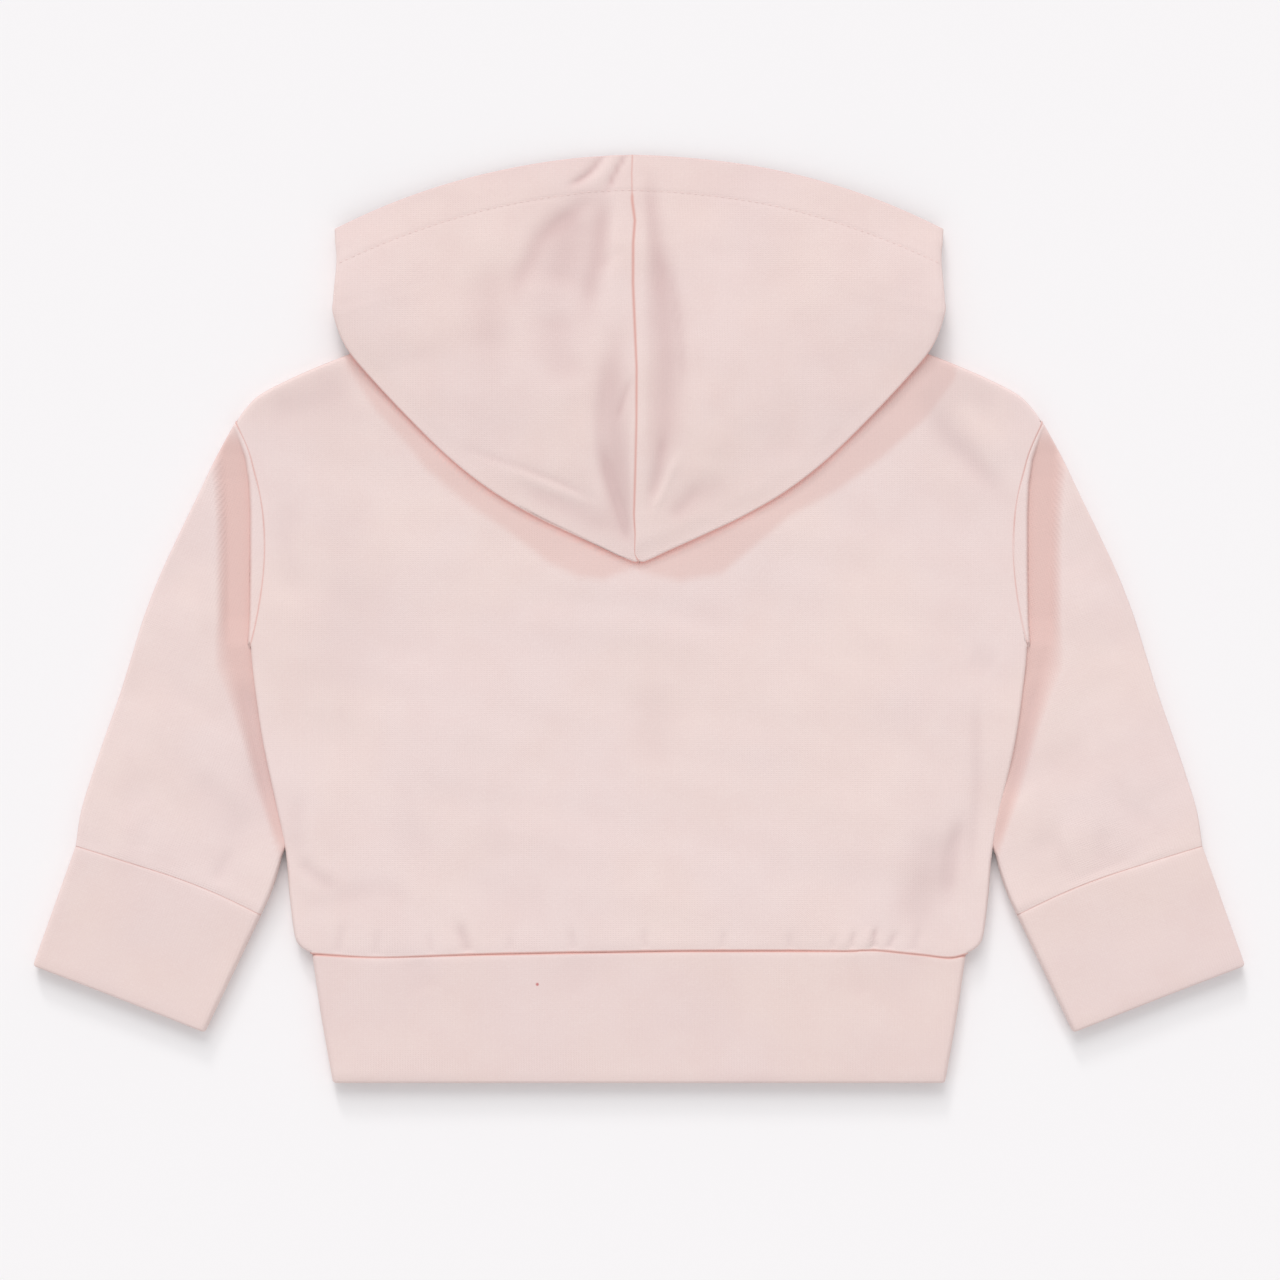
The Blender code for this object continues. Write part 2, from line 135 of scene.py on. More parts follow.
def at(line: Array, share: Array) -> Array:
    """Points of a line at shares of its length, for shares in an array of any shape."""
    step = np.linalg.norm(np.diff(line, axis=0), axis=1)
    along = np.concatenate([[0.0], np.cumsum(step)]) / step.sum()
    return np.stack([np.interp(share, along, line[:, k]) for k in range(line.shape[1])], axis=-1)


def trimmed(line: Array, first: float, last: float) -> Array:
    """The line without a first and a last length of it."""
    whole = length_of(line)
    return at(line, np.linspace(first / whole, 1.0 - last / whole, len(line)))


def patch(hem: Array, top: Array, centre: Array, side: Array, u: Array, v: Array) -> Array:
    """Coons patch between four lines.

    Args:
        hem: the line at v 0. top: the line at v 1. centre: the line at u 0. side: the line at u 1.
        u: share across, an array. v: share up, an array of the same shape.

    Returns:
        Blend of hem and top, plus blend of centre and side, less the blend of the four corners.
    """
    a, b = u[..., None], v[..., None]
    corners = (1 - a) * (1 - b) * hem[0] + a * (1 - b) * hem[-1] + (1 - a) * b * top[0] + a * b * top[-1]
    return (1 - b) * at(hem, u) + b * at(top, u) + (1 - a) * at(centre, v) + a * at(side, v) - corners


def bow(start: Array, way: Array, end: Array, share: Array) -> Array:
    """Parabolas from start to end drawn towards way: (1-s)^2 start + 2 s (1-s) way + s^2 end."""
    s = share[None, :, None]
    return (1 - s) ** 2 * start[:, None] + 2 * s * (1 - s) * way[:, None] + s**2 * end[:, None]


def graded(length: float, step: float, fine_first: bool = True, fine_last: bool = True) -> Array:
    """Shares from 0 to 1 in steps of about step, with finer ones beside an end that shows its edge.

    Args:
        length: the length that the shares divide.
        step: the usual step.
        fine_first: whether the first end gets the finer steps.
        fine_last: whether the last end gets them.

    Returns:
        Rising shares, first 0 and last 1.
    """
    shares = np.linspace(0.0, 1.0, max(int(round(length / step)), 2) + 1)
    fine = np.array([0.07, 0.25, 0.5, 0.85, 1.3, 1.9]) / length
    if fine_first:
        shares = np.concatenate([shares[(shares == 0.0) | (shares > fine[-1] * 1.3)], fine])
    if fine_last:
        shares = np.concatenate([shares[(shares == 1.0) | (shares < 1 - fine[-1] * 1.3)], 1 - fine])
    return np.sort(shares)


# ------------------------------------------------------------------------------------ folds


@dataclass(frozen=True)
class Crease:
    """A soft trough, or a ridge if depth is above 0, along a curve through its path's knots."""

    path: Pairs
    width: float
    depth: float

    def height(self, x: Array, y: Array) -> Array:
        """Height to add at each point.

        Args:
            x: plan x of the points. y: plan y of the points.

        Returns:
            depth times exp(-(distance from the path / width)^2), fading out over the last quarter of
            each end.
        """
        line = self.path if len(self.path) == 2 else curve(self.path, 6 * len(self.path))
        line = np.asarray(line, float)
        nearest, along = np.full(x.shape, 1e9), np.zeros(x.shape)
        for number, (first, run) in enumerate(zip(line[:-1], np.diff(line, axis=0))):
            share = np.clip(((x - first[0]) * run[0] + (y - first[1]) * run[1]) / (run @ run), 0.0, 1.0)
            away = np.hypot(x - first[0] - share * run[0], y - first[1] - share * run[1])
            along = np.where(away < nearest, (number + share) / (len(line) - 1), along)
            nearest = np.minimum(nearest, away)
        past = np.maximum(np.abs(2 * along - 1) - 0.5, 0.0)
        return self.depth * np.exp(-((nearest / self.width) ** 2) - (past / 0.42) ** 2)


def crease_table(*rows: Row) -> tuple[Crease, ...]:
    """The creases of a table whose rows hold width, depth, and then x and y of each knot."""
    return tuple(Crease(tuple(zip(row[2::2], row[3::2])), row[0], row[1]) for row in rows)


def relief(folds: tuple[Crease, ...], x: Array, y: Array) -> Array:
    """Sum of the heights of several creases at each point."""
    total = np.zeros_like(x)
    for fold in folds:
        total += fold.height(x, y)
    return total


def swell(x: Array, y: Array, size: float, span: float, seed: int) -> Array:
    """Broad uneven waves, as cloth has that was smoothed by hand.

    Args:
        x: plan x. y: plan y. size: usual height. span: usual length of a wave. seed: fixes the waves.

    Returns:
        The sum of nine cosines with seeded directions, lengths and phases, times size over 3.
    """
    draw = np.random.default_rng(seed)
    total = np.zeros_like(x)
    for turn, phase, stretch in draw.uniform((0.0, 0.0, 0.6), (math.pi, 2 * math.pi, 1.7), (9, 3)):
        total += np.cos(2 * math.pi * (x * math.cos(turn) + y * math.sin(turn)) / (span * stretch) + phase)
    return size * total / 3.0


def reach(points: Array, edges: tuple[Edge, ...]) -> Array:
    """Distance of each grid point from the nearest of some borders, measured along the grid's lines."""
    down = np.linalg.norm(np.diff(points, axis=0), axis=2)
    down = np.vstack([np.zeros((1, points.shape[1])), np.cumsum(down, axis=0)])
    over = np.linalg.norm(np.diff(points, axis=1), axis=2)
    over = np.hstack([np.zeros((points.shape[0], 1)), np.cumsum(over, axis=1)])
    ways = {Edge.FIRST_ROW: down, Edge.LAST_ROW: down[-1:] - down,
            Edge.FIRST_COLUMN: over, Edge.LAST_COLUMN: over[:, -1:] - over}
    nearest = np.full(points.shape[:2], 1e3)
    for edge in edges:
        nearest = np.minimum(nearest, ways[edge])
    return nearest


# ------------------------------------------------------------------------------------ cloth walls


@dataclass
class Grid:
    """One grid of middle points with what the wall and the finish need at each."""

    points: Array
    pattern: Array
    edge: Array
    seam: Array
    # The next three fields are painted: a coral shade in hollows and in the hood's cast shadow, a darker
    # shade in folds and on turned edges, and a brighter coral light under the hood's fold in place of light
    # through the cloth.
    warm: Array
    deep: Array | None = None
    painted_through_light: Array | None = None

    def __post_init__(self) -> None:
        """No painted shade and no painted light where none is given."""
        if self.deep is None:
            self.deep = np.zeros(self.edge.shape)
        if self.painted_through_light is None:
            self.painted_through_light = np.zeros(self.edge.shape)

    def on(self, side: Side) -> "Grid":
        """The right half's grid, mirrored if the side is the left."""
        if side is Side.RIGHT:
            return self
        return Grid(self.points * np.array([-1.0, 1.0, 1.0]), self.pattern * np.array([-1.0, 1.0]),
                    self.edge, self.seam, self.warm, self.deep, self.painted_through_light)


def tidy_faces(corner: Array, merged: Array) -> tuple[list, list]:
    """Cells of a grid as faces, with a triangle where two corners of a cell meet.

    Args:
        corner: point numbers of each cell, (cells, 4). merged: the number that each point has after
            points in one place are joined.

    Returns:
        The faces in joined numbers, and the same faces in the first numbers.
    """
    joined = merged[corner]
    same = joined == np.roll(joined, -1, axis=1)
    whole = ~same.any(axis=1)
    faces, first = joined[whole].tolist(), corner[whole].tolist()
    for k in range(4):
        keep = [j for j in range(4) if j != k]
        single = same[:, k] & (same.sum(axis=1) == 1)
        faces += joined[single][:, keep].tolist()
        first += corner[single][:, keep].tolist()
    return faces, first


def cloth(name: str, grids: list[Grid], wall: float, flip: bool,
          finish: bpy.types.Material) -> bpy.types.Object:
    """A piece of cloth: the grids joined where they meet, given a wall whose open edges are rounded.

    Args:
        name: the piece's name. grids: its middle surface. wall: the cloth's thickness. flip: whether
            the cells run the other way round, seen from outside. finish: the material.

    Returns:
        The new object. Its wall at distance d from an open edge is sqrt(1 - (1 - 2 d / wall)^2) of the
        full one.
    """
    points = np.concatenate([grid.points.reshape(-1, 3) for grid in grids])
    pattern = np.concatenate([grid.pattern.reshape(-1, 2) for grid in grids])
    edge = np.concatenate([grid.edge.ravel() for grid in grids])
    shades = {key: np.concatenate([getattr(grid, key).ravel() for grid in grids])
              for key in ("seam", "warm", "deep", "painted_through_light")}
    cells = []
    first = 0
    for grid in grids:
        corner = first + np.arange(grid.edge.size).reshape(grid.edge.shape)
        first += corner.size
        cells.append(np.stack([corner[:-1, :-1], corner[:-1, 1:], corner[1:, 1:], corner[1:, :-1]],
                              axis=-1).reshape(-1, 4)[:, ::-1 if flip else 1])
    _, kept, merged = np.unique(np.round(points * 200).astype(np.int64), axis=0, return_index=True,
                                return_inverse=True)
    faces, corners = tidy_faces(np.concatenate(cells), merged.reshape(-1))
    mesh = bpy.data.meshes.new(name)
    mesh.from_pydata((points[kept] * MM).tolist(), [], faces)
    chart = mesh.uv_layers.new(name="pattern")
    chart.data.foreach_set("uv", (pattern[np.concatenate(corners)] * MM).astype(np.float32).ravel())
    for key, value in shades.items():
        mesh.attributes.new(key, "FLOAT", "POINT").data.foreach_set("value", value[kept].astype(np.float32))
    mesh.shade_smooth()
    piece = placed(name, mesh, finish)
    group = piece.vertex_groups.new(name="wall")
    full = np.sqrt(1 - (1 - np.clip(2 * edge[kept] / wall, 0.0, 1.0)) ** 2)
    levels = np.round(full, 2)
    for level in np.unique(levels):
        group.add(np.flatnonzero(levels == level).tolist(), float(level), "REPLACE")
    thick = piece.modifiers.new("cloth wall", "SOLIDIFY")
    thick.thickness = wall * MM
    thick.offset = 0.0
    thick.vertex_group = "wall"
    thick.thickness_vertex_group = 0.08
    return piece


def placed(name: str, mesh: bpy.types.Mesh, finish: bpy.types.Material) -> bpy.types.Object:
    """The mesh as a new object of the scene, with its finish."""
    mesh.materials.append(finish)
    piece = bpy.data.objects.new(name, mesh)
    bpy.context.scene.collection.objects.link(piece)
    return piece


@dataclass(frozen=True)
class Cut:
    """The flat cloth of one piece: the rectangle that its cut fits in."""

    width: float
    length: float
    held: str
    rests_on: tuple[str, ...]


@dataclass(frozen=True)
class Cloth:
    """What a piece is cut from: its slot, its wall, its cut and its finish."""

    slot: str
    wall: float
    cut: Cut
    finish: bpy.types.Material


def lay(node: str, made_of: Cloth, grids: list[Grid], flip: bool) -> None:
    """Makes a piece of cloth in its node's place and hides the node.

    Args:
        node: the node that it replaces. made_of: its cloth. grids: its middle surface. flip: whether
            the cells run the other way round, seen from outside.
    """
    piece = cloth(f"{node}_cloth", grids, made_of.wall, flip, made_of.finish)
    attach(piece, "root")
    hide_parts(node)


# ------------------------------------------------------------------------------------ finishes


class Nodes:
    """Short words for wiring a material's nodes."""

    def __init__(self, name: str) -> None:
        """An empty material with its shader."""
        self.material = bpy.data.materials.new(name)
        self.material.use_nodes = True
        self.tree = self.material.node_tree
        self.shader = self.tree.nodes["Principled BSDF"]

    def add(self, kind: str, settings: dict | None = None, **inputs: object) -> bpy.types.Node:
        """A node of a kind.

        Args:
            kind: the node's type. settings: its own properties. inputs: socket name or number, as
                s0, s1 or a name with _ for a space, to a value or to an output that feeds it.

        Returns:
            The node.
        """
        node = self.tree.nodes.new(kind)
        for key, value in (settings or {}).items():
            setattr(node, key, value)
        for key, value in inputs.items():
            socket = node.inputs[int(key[1:])] if key[0] == "s" and key[1:].isdigit() else node.inputs[
                key.replace("_", " ")]
            self.feed(socket, value)
        return node

    def feed(self, socket: bpy.types.NodeSocket, value: object) -> None:
        """Links an output to a socket, or sets the socket's own value."""
        if isinstance(value, bpy.types.NodeSocket):
            self.tree.links.new(value, socket)
        else:
            socket.default_value = value

    def math(self, operation: str, *values: object) -> bpy.types.NodeSocket:
        """Output of a Math node with these values."""
        inputs = {f"s{k}": value for k, value in enumerate(values)}
        return self.add("ShaderNodeMath", {"operation": operation}, **inputs).outputs[0]

    def reading(self, name: str) -> bpy.types.NodeSocket:
        """Value of one of the piece's own attributes."""
        return self.add("ShaderNodeAttribute", {"attribute_name": name}).outputs["Fac"]

    def set_shader(self, **values: object) -> None:
        """Sets the shader's own sockets, each named with _ for a space."""
        for key, value in values.items():
            self.shader.inputs[key.replace("_", " ")].default_value = value

    def blend(self, share: object, first: object, second: object) -> bpy.types.NodeSocket:
        """Colour between first and second by share."""
        node = self.add("ShaderNodeMix", {"data_type": "RGBA"})
        self.feed(node.inputs[0], share)
        self.feed(node.inputs[6], first)
        self.feed(node.inputs[7], second)
        return node.outputs[2]

    def noise(self, where: object, scale: float, detail: float = 2.0) -> bpy.types.NodeSocket:
        """Output of a Noise Texture, 0 to 1, with scale in features per metre."""
        return self.add("ShaderNodeTexNoise", Vector=where, Scale=scale, Detail=detail).outputs[0]

    def ramp(self, value: object, low: float, high: float) -> bpy.types.NodeSocket:
        """0 up to low and 1 from high, rising smoothly between."""
        node = self.add("ShaderNodeMapRange", {"interpolation_type": "SMOOTHSTEP"}, Value=value,
                        From_Min=low, From_Max=high)
        return node.outputs[0]


@dataclass(frozen=True)
class JerseyFinish:
    """Brushed loopback jersey: fine wales and courses, soft nap, faint mottling, coral at the seams, and
    painted shade and light from the piece's attributes.
    """

    name: str
    shade: Colour
    peach: Colour
    deep: Colour
    # coral is a painted shade colour for hollows and the hood's cast shadow, shadow a painted shade colour
    # for folds and turned edges, and through a painted light colour for the cloth under the hood's fold.
    coral: Colour = (0.78, 0.54, 0.50, 1.0)
    shadow: Colour = (0.65, 0.46, 0.45, 1.0)
    through: Colour = (0.98, 0.62, 0.57, 1.0)
    stitch: Colour = (0.74, 0.42, 0.375, 1.0)
    yarn: Colour = (1.0, 0.93, 0.91, 1.0)
    nap: Colour = (1.0, 0.92, 0.9, 1.0)
    spot: Colour = (0.55, 0.12, 0.12, 1.0)
    wale: float = 1.05
    course: float = 0.82
    relief: float = 0.5
    fleck: tuple[float, float] | None = None

    def knit(self, n: Nodes) -> bpy.types.NodeSocket:
        """Height of the knit.

        Args:
            n: the material's nodes.

        Returns:
            0.6 of a zigzag across each wale plus 0.2 of a sine along the courses, which the zigzag
            bends into small arrows.
        """
        place = n.add("ShaderNodeSeparateXYZ", s0=n.add("ShaderNodeUVMap", {"uv_map": "pattern"}).outputs[0])
        across = n.math("PINGPONG", n.math("MULTIPLY", place.outputs[0], 1.0 / (self.wale * MM)), 0.5)
        along = n.math("MULTIPLY", place.outputs[1], 1.0 / (self.course * MM))
        loops = n.math("SINE", n.math("MULTIPLY", n.math("MULTIPLY_ADD", across, 1.1, along), 2 * math.pi))
        return n.math("MULTIPLY_ADD", loops, 0.2, n.math("MULTIPLY", across, 1.2))

    def material(self) -> bpy.types.Material:
        """Makes the material.

        Returns:
            A material whose colour and bump follow the pattern coordinates and the seam distance, and whose
            colour carries the painted shade and painted light of the piece's attributes.
        """
        n = Nodes(self.name)
        place = n.add("ShaderNodeTexCoord").outputs["Object"]
        knit = self.knit(n)
        broad = n.ramp(n.noise(place, 17.0, 3.0), 0.35, 0.68)
        cloudy = n.ramp(n.noise(place, 70.0, 3.35), 0.3, 0.75)
        colour = n.blend(n.math("MULTIPLY", broad, 0.75), self.shade, self.peach)
        colour = n.blend(n.math("MULTIPLY", cloudy, 0.22), colour, self.deep)
        colour = n.blend(n.math("MULTIPLY", n.math("SUBTRACT", 0.8, knit), 0.10), colour, self.deep)
        yarn = n.noise(place, 1500.0, 2.0)
        colour = n.blend(n.math("MULTIPLY", n.ramp(yarn, 0.45, 0.8), 0.10), colour, self.yarn)
        colour = self.flecked(n, place, colour)
        seam = n.reading("seam")
        near = n.math("SUBTRACT", 1.0, n.ramp(seam, 0.2, 1.0))
        # Painted shade and light: a coral shade in hollows and under the hood, a brighter coral light under
        # the hood's fold, and a darker shade in folds and on turned edges.
        warm = n.reading("warm")
        colour = n.blend(warm, colour, self.coral)
        painted_through_light = n.reading("painted_through_light")
        colour = n.blend(painted_through_light, colour, self.through)
        deep = n.reading("deep")
        colour = n.blend(deep, colour, self.shadow)
        colour = n.blend(n.math("MULTIPLY", near, 0.9), colour, self.stitch)
        n.feed(n.shader.inputs["Base Color"], colour)
        height = n.math("MULTIPLY_ADD", n.noise(place, 900.0, 3.0), 0.9, knit)
        bump = n.add("ShaderNodeBump", Strength=self.relief, Distance=0.00022, Height=height)
        n.feed(n.shader.inputs["Normal"], bump.outputs[0])
        n.set_shader(Roughness=0.92, Specular_IOR_Level=0.18)
        n.set_shader(Sheen_Weight=0.2, Sheen_Roughness=0.45, Sheen_Tint=self.nap)
        return n.material

    def flecked(self, n: Nodes, place: object, colour: object) -> object:
        """Adds the small coral fleck where the finish has one: a spot 1 mm across at its own place."""
        if self.fleck is None:
            return colour
        away = n.add("ShaderNodeVectorMath", {"operation": "DISTANCE"}, s0=n.add(
            "ShaderNodeVectorMath", {"operation": "MULTIPLY"}, s0=place, s1=(1.0, 1.0, 0.0)).outputs[0],
            s1=(self.fleck[0] * MM, self.fleck[1] * MM, 0.0)).outputs["Value"]
        spot = n.math("SUBTRACT", 1.0, n.ramp(away, 0.0003, 0.0009))
        return n.blend(n.math("MULTIPLY", spot, 0.8), colour, self.spot)


@dataclass(frozen=True)
class ThreadFinish:
    """Matt polyester sewing thread, twisted."""

    name: str = "hem thread"
    shade: Colour = (0.82, 0.60, 0.57, 1.0)
    light: Colour = (0.88, 0.72, 0.69, 1.0)

    def material(self) -> bpy.types.Material:
        """A thread material with a fine twist in its bump."""
        n = Nodes(self.name)
        place = n.add("ShaderNodeTexCoord").outputs["Object"]
        twist = n.noise(place, 3000.0, 1.0)
        n.feed(n.shader.inputs["Base Color"], n.blend(twist, self.shade, self.light))
        n.feed(n.shader.inputs["Normal"],
               n.add("ShaderNodeBump", Strength=0.3, Distance=0.0001, Height=twist).outputs[0])
        n.set_shader(Roughness=0.7)
        return n.material


@dataclass(frozen=True)
class FloorFinish:
    """Plain matt off-white paper."""

    name: str = "paper floor"
    shade: Colour = (0.94, 0.925, 0.932, 1.0)

    def material(self) -> bpy.types.Material:
        """A paper material."""
        n = Nodes(self.name)
        n.set_shader(Base_Color=self.shade, Roughness=1.0, Specular_IOR_Level=0.0)
        return n.material


# ------------------------------------------------------------------------------------ body


@dataclass
class Body:
    """The back panel and the two fronts, with the tables of their outline."""

    wall: float = 1.5
    laid: float = 7.0
    laid_neck: float = 4.8
    clear: float = 0.25
    clear_neck: float = 0.6
    seam: float = 0.16
    lap: float = 0.35
    edge_turn: float = 0.9
    turn_steps: int = 8
    lip_fall: float = 0.45
    lip_room: float = 2.6
    neck_ramp: float = 7.0
    step: float = 1.7
    columns: int = 120
    hem_y: float = -133.0
    hem_reach: float = 14.0
    pleat_start: float = -133.5
    pleat_fade: float = 2.4
    back_cut: Cut = Cut(330.0, 262.0, "laid", ("front_left_cloth", "front_right_cloth"))
    front_cut: Cut = Cut(165.0, 262.0, "laid", ("floor",))
    side_seam: Pairs = (
        (131, -133.2), (135.4, -130.6), (137.8, -126), (139.8, -110.5), (141.4, -92.5), (145.6, -72),
        (150.6, -48.5), (153.6, -28), (154.8, -17.5), (155.2, -10.9))
    armhole: Pairs = (
        (155.2, -10.9), (152.6, 0.5), (150.6, 12.9), (149.6, 26.6), (150, 39.3), (151.6, 50), (153.6, 58.5),
        (156.2, 67.5), (161.2, 78.6))
    hood_fold: Pairs = (
        (0, 22.3), (13, 27), (26.6, 33.2), (42.4, 40.8), (58.8, 50.4), (75.1, 63), (91.4, 78.8),
        (107.7, 96.2), (117.4, 108.4), (122.2, 121.4), (124, 125))
    side_falls: Pairs = ((-102, 1), (-88, 0), (-12, 0), (-8, -1))
    hem_waver: Pairs = (
        (-131, -0.5), (-107, -1.7), (-84, -1.2), (-52, -0.5), (-11, 0.3), (24, 0.7), (80, 0.7), (89, 1.1),
        (97, 1), (113, -0.7), (124, -2), (131, -0.6))
    hood_shade: Pairs = (
        (-119, 104), (-117.2, 101.9), (-104.8, 83.1), (-92.4, 69.5), (-84.8, 59.5), (-67.6, 45.3),
        (-51, 34), (-35.2, 21.9), (-23.6, 16.7), (-14, 15.9), (-2, 20.3), (6.4, 17.5), (16.8, 15.1),
        (33.2, 18.3), (60.8, 41.5), (78.8, 51.1), (96.8, 64.3), (114.8, 80.3), (128, 98.3))
    shoulder: Pairs = (
        (68, 124), (92, 115), (116.7, 105.6), (136, 97.6), (151, 90), (157.2, 84.2), (161.2, 78.6))
    back_neck: Pairs = ((0, 107), (20, 108.4), (45, 113.6), (68, 124))
    front_neck: Pairs = ((0, 76), (22, 80), (44, 90.5), (60.5, 106), (68, 124))
    hem_seam: Pairs = ((0, -133.2), (60, -133.2), (100, -133.6), (131, -133.2))
    back_creases: tuple[Crease, ...] = crease_table(
        (5, -0.75, 116, 86, 124, 72, 134, 62, 146, 48), (5, 0.35, 128, 88, 146, 60),
        (3.6, -0.9, 129, -80, 125, -94, 123, -112), (9, -0.75, 118, -84, 115, -106, 108, -125),
        (16, -0.3, -118, 48, -116, -32), (2.6, -0.45, 134.5, -32, 135, -66, 132, -104),
        (6, -0.35, 132, -14, 142, -20), (8, -0.65, -150, 84, -132, 87, -114, 94),
        (9, -0.5, 112, 94, 144, 84), (6, -0.35, -138, 48, -141, 30, -136, 6),
        (3, -0.6, -136, -96, -130, -102, -121, -108), (4, -0.3, -136, -70, -137, -96),
        (5, -0.3, -134, -116, -104, -108, -90, -116), (6, -0.22, -66, 2, -20, 6, 46, -2),
        (8, -0.25, -96, -52, -90, -84, -84, -98), (8, -0.22, 4, -26, 8, -62),
        (7, -0.25, -60, -70, -54, -100), (16, 0.4, -60, 20, 30, 14), (22, 0.4, -100, -40, -20, -70),
        (20, 0.4, 60, -40, 120, -20))
    gathers: tuple[Crease, ...] = crease_table(
        (1.25, -0.95, 94.6, -124, 93.6, -129, 94, -135), (1.4, 0.4, 91.4, -124.5, 91.6, -135),
        (1.2, -0.6, 86.2, -125.5, 85, -130, 85.2, -135), (1.3, 0.25, 82, -126, 82, -135),
        (1.3, -0.35, 77.6, -127, 77, -134.5), (1.3, -0.65, 102.6, -126, 100.6, -130, 99.8, -134.5),
        (1.8, -0.35, 112, -123, 109, -134), (1.5, -0.35, 60, -126, 60.4, -134),
        (1.7, -0.35, 34, -125, 33, -134), (1.6, -0.35, 2, -124, 2.6, -134),
        (1.8, -0.35, -27, -124, -26, -134), (1.5, -0.3, -51, -126, -52.5, -134),
        (2.2, -0.75, -72, -122, -69, -130, -68.5, -134), (1.6, -0.3, -84, -125, -83, -134),
        (2, -0.35, -104, -124, -106, -134), (1.8, -0.35, -118, -122, -121, -134))

    def laid_height(self, x: Array, y: Array) -> Array:
        """Height of the two layers: laid, pressed down to laid_neck round the neck."""
        radius = np.hypot(x / 70.0, (y - 120.0) / 35.0)
        return self.laid - (self.laid - self.laid_neck) * smooth(1.9 - radius)

    def outline(self, neck: Pairs, lower: bool) -> tuple[Array, Array, Array, Array]:
        """Hem, top edge, centre line, and side with armhole, of the right half's middle surface."""
        seam, hole = curve(self.side_seam), curve(self.armhole)
        kind = np.interp(seam[:, 1], *np.array(self.side_falls).T)
        tucked = self.lip_room * (1 - smooth(np.abs(kind))) if lower else 0.0
        arm = smooth(np.linspace(0.0, length_of(hole), len(hole)) / 4.0)
        side = np.vstack([shifted(seam, self.wall / 2 + tucked)[:-1], shifted(hole, -self.lap * arm)])
        top = np.vstack([curve(neck), shifted(curve(self.shoulder), -self.wall / 2)])
        hem = shifted(curve(self.hem_seam), -self.lap)
        hem[0, 0] = 0.0
        side[0], top[-1] = hem[-1], side[-1]
        return hem, top, np.linspace(hem[0], top[0], 60), side

    def half(self, neck: Pairs, lower: bool) -> tuple[Array, Array]:
        """The right half of the back, or of the fronts if lower.

        Args:
            neck: the neckline's table. lower: whether this is the under layer.

        Returns:
            Middle points, rows from hem to top, and the share of an edge's full fall at each. Over the
            last edge_turn an edge falls as 1 - cos of its way round the turn: wholly where it is free, a
            little where it lies over the sleeve, and not at all where it is sewn.
        """
        hem, top, centre, side = self.outline(neck, lower)
        neck_end = length_of(curve(neck)) / length_of(top)
        turn = np.linspace(0.0, 1.0, self.turn_steps + 1)[1:]
        column = np.linspace(0.0, 1.0, self.columns)
        row = graded(length_of(side), self.step, True, False)
        kind = np.interp(at(side, row)[:, 1], *np.array(self.side_falls).T)
        free = self.lip_fall + (1 - self.lip_fall) * smooth(kind) - self.lip_fall * smooth(-kind)
        sewn = smooth(1 + (column - neck_end) * length_of(top) / self.neck_ramp)
        width = at(side, row)[:, 0]
        height = (at(top, column) - at(hem, column))[:, 1]
        out, down = np.sin(turn * math.pi / 2), 1 - np.cos(turn * math.pi / 2)
        u_turn = (self.edge_turn / width)[:, None]
        u = np.hstack([column[None, :] * (1 - u_turn), 1 - u_turn * (1 - out[None, :])])
        v_turn = (self.edge_turn / height)[None, :]
        v = np.vstack([row[:, None] * (1 - v_turn), 1 - v_turn * (1 - out[:, None])])
        u = np.pad(u, ((0, self.turn_steps), (0, 0)), mode="edge")
        v = np.pad(v, ((0, 0), (0, self.turn_steps)), mode="edge")
        plan = patch(hem, top, centre, side, u, v)
        thick = self.laid_height(plan[..., 0], plan[..., 1])
        gap = self.clear + self.clear_neck * (self.laid - thick) / (self.laid - self.laid_neck)
        full = (thick - self.wall) / 2 - gap
        free = np.pad(free, (0, self.turn_steps), mode="edge")[:, None]
        sewn = np.pad(sewn, (0, self.turn_steps), mode="edge")[None, :]
        way_x = np.concatenate([np.zeros(len(column)), down])[None, :]
        way_y = np.concatenate([np.zeros(len(row)), down])[:, None]
        fall = np.minimum(way_x * full * free + way_y * full * sewn, full)
        at_hem = 1 - smooth((plan[..., 1] - self.hem_y) / 3.0)
        fall = np.minimum(fall + 0.2 * at_hem * (1 - way_x), full)
        z = self.wall / 2 + fall if lower else thick - self.wall / 2 - fall
        return np.dstack([plan, z]), fall / full

    def waver(self, x: Array) -> Array:
        """How far the waistband's seam strays from its straight line at each x."""
        return np.interp(x, *curve(self.hem_waver).T)

    def hood_warmth(self, x: Array, y: Array) -> tuple[Array, Array]:
        """Painted shadow of the hood on the back, and painted light under its fold.

        Args:
            x: plan x. y: plan y.

        Returns:
            0.6 of painted coral shade inside the hood's cast shadow and 0 in the open; and 1 of painted light
            close under its fold, where light comes through the cloth, and 0 elsewhere.
        """
        line_x, line_y = np.array(self.hood_shade).T
        ends = smooth((x - line_x[0]) / 4.0) * smooth((line_x[-1] - x) / 3.0)
        # shade is the hood's painted cast shadow; close is painted light just under its fold.
        shade = smooth((y - np.interp(x, line_x, line_y)) / 4.5 + 0.5) * ends
        close = smooth((y - np.interp(np.abs(x), *np.array(self.hood_fold).T) + 2.4) / 2.0)
        return 0.6 * shade, close

    def pattern(self, points: Array, fallen: Array) -> Array:
        """Plan x and y, with x carried on down the turned edges."""
        return np.dstack([points[..., 0] + 3.0 * fallen * np.sign(points[..., 0]), points[..., 1]])

    def sewn_reach(self, points: Array) -> Array:
        """Distance from the hem seam, the armhole seam and the side seam, all sewn."""
        lines = np.vstack([curve(self.armhole), curve(self.hem_seam)])
        right = np.abs(points[..., :2]) * [1.0, 0.0] + points[..., :2] * [0.0, 1.0]
        away = np.full(points.shape[:2], 1e3)
        for part in np.array_split(lines, 40):
            away = np.minimum(away, np.linalg.norm(right[:, :, None] - part, axis=3).min(axis=2))
        return away

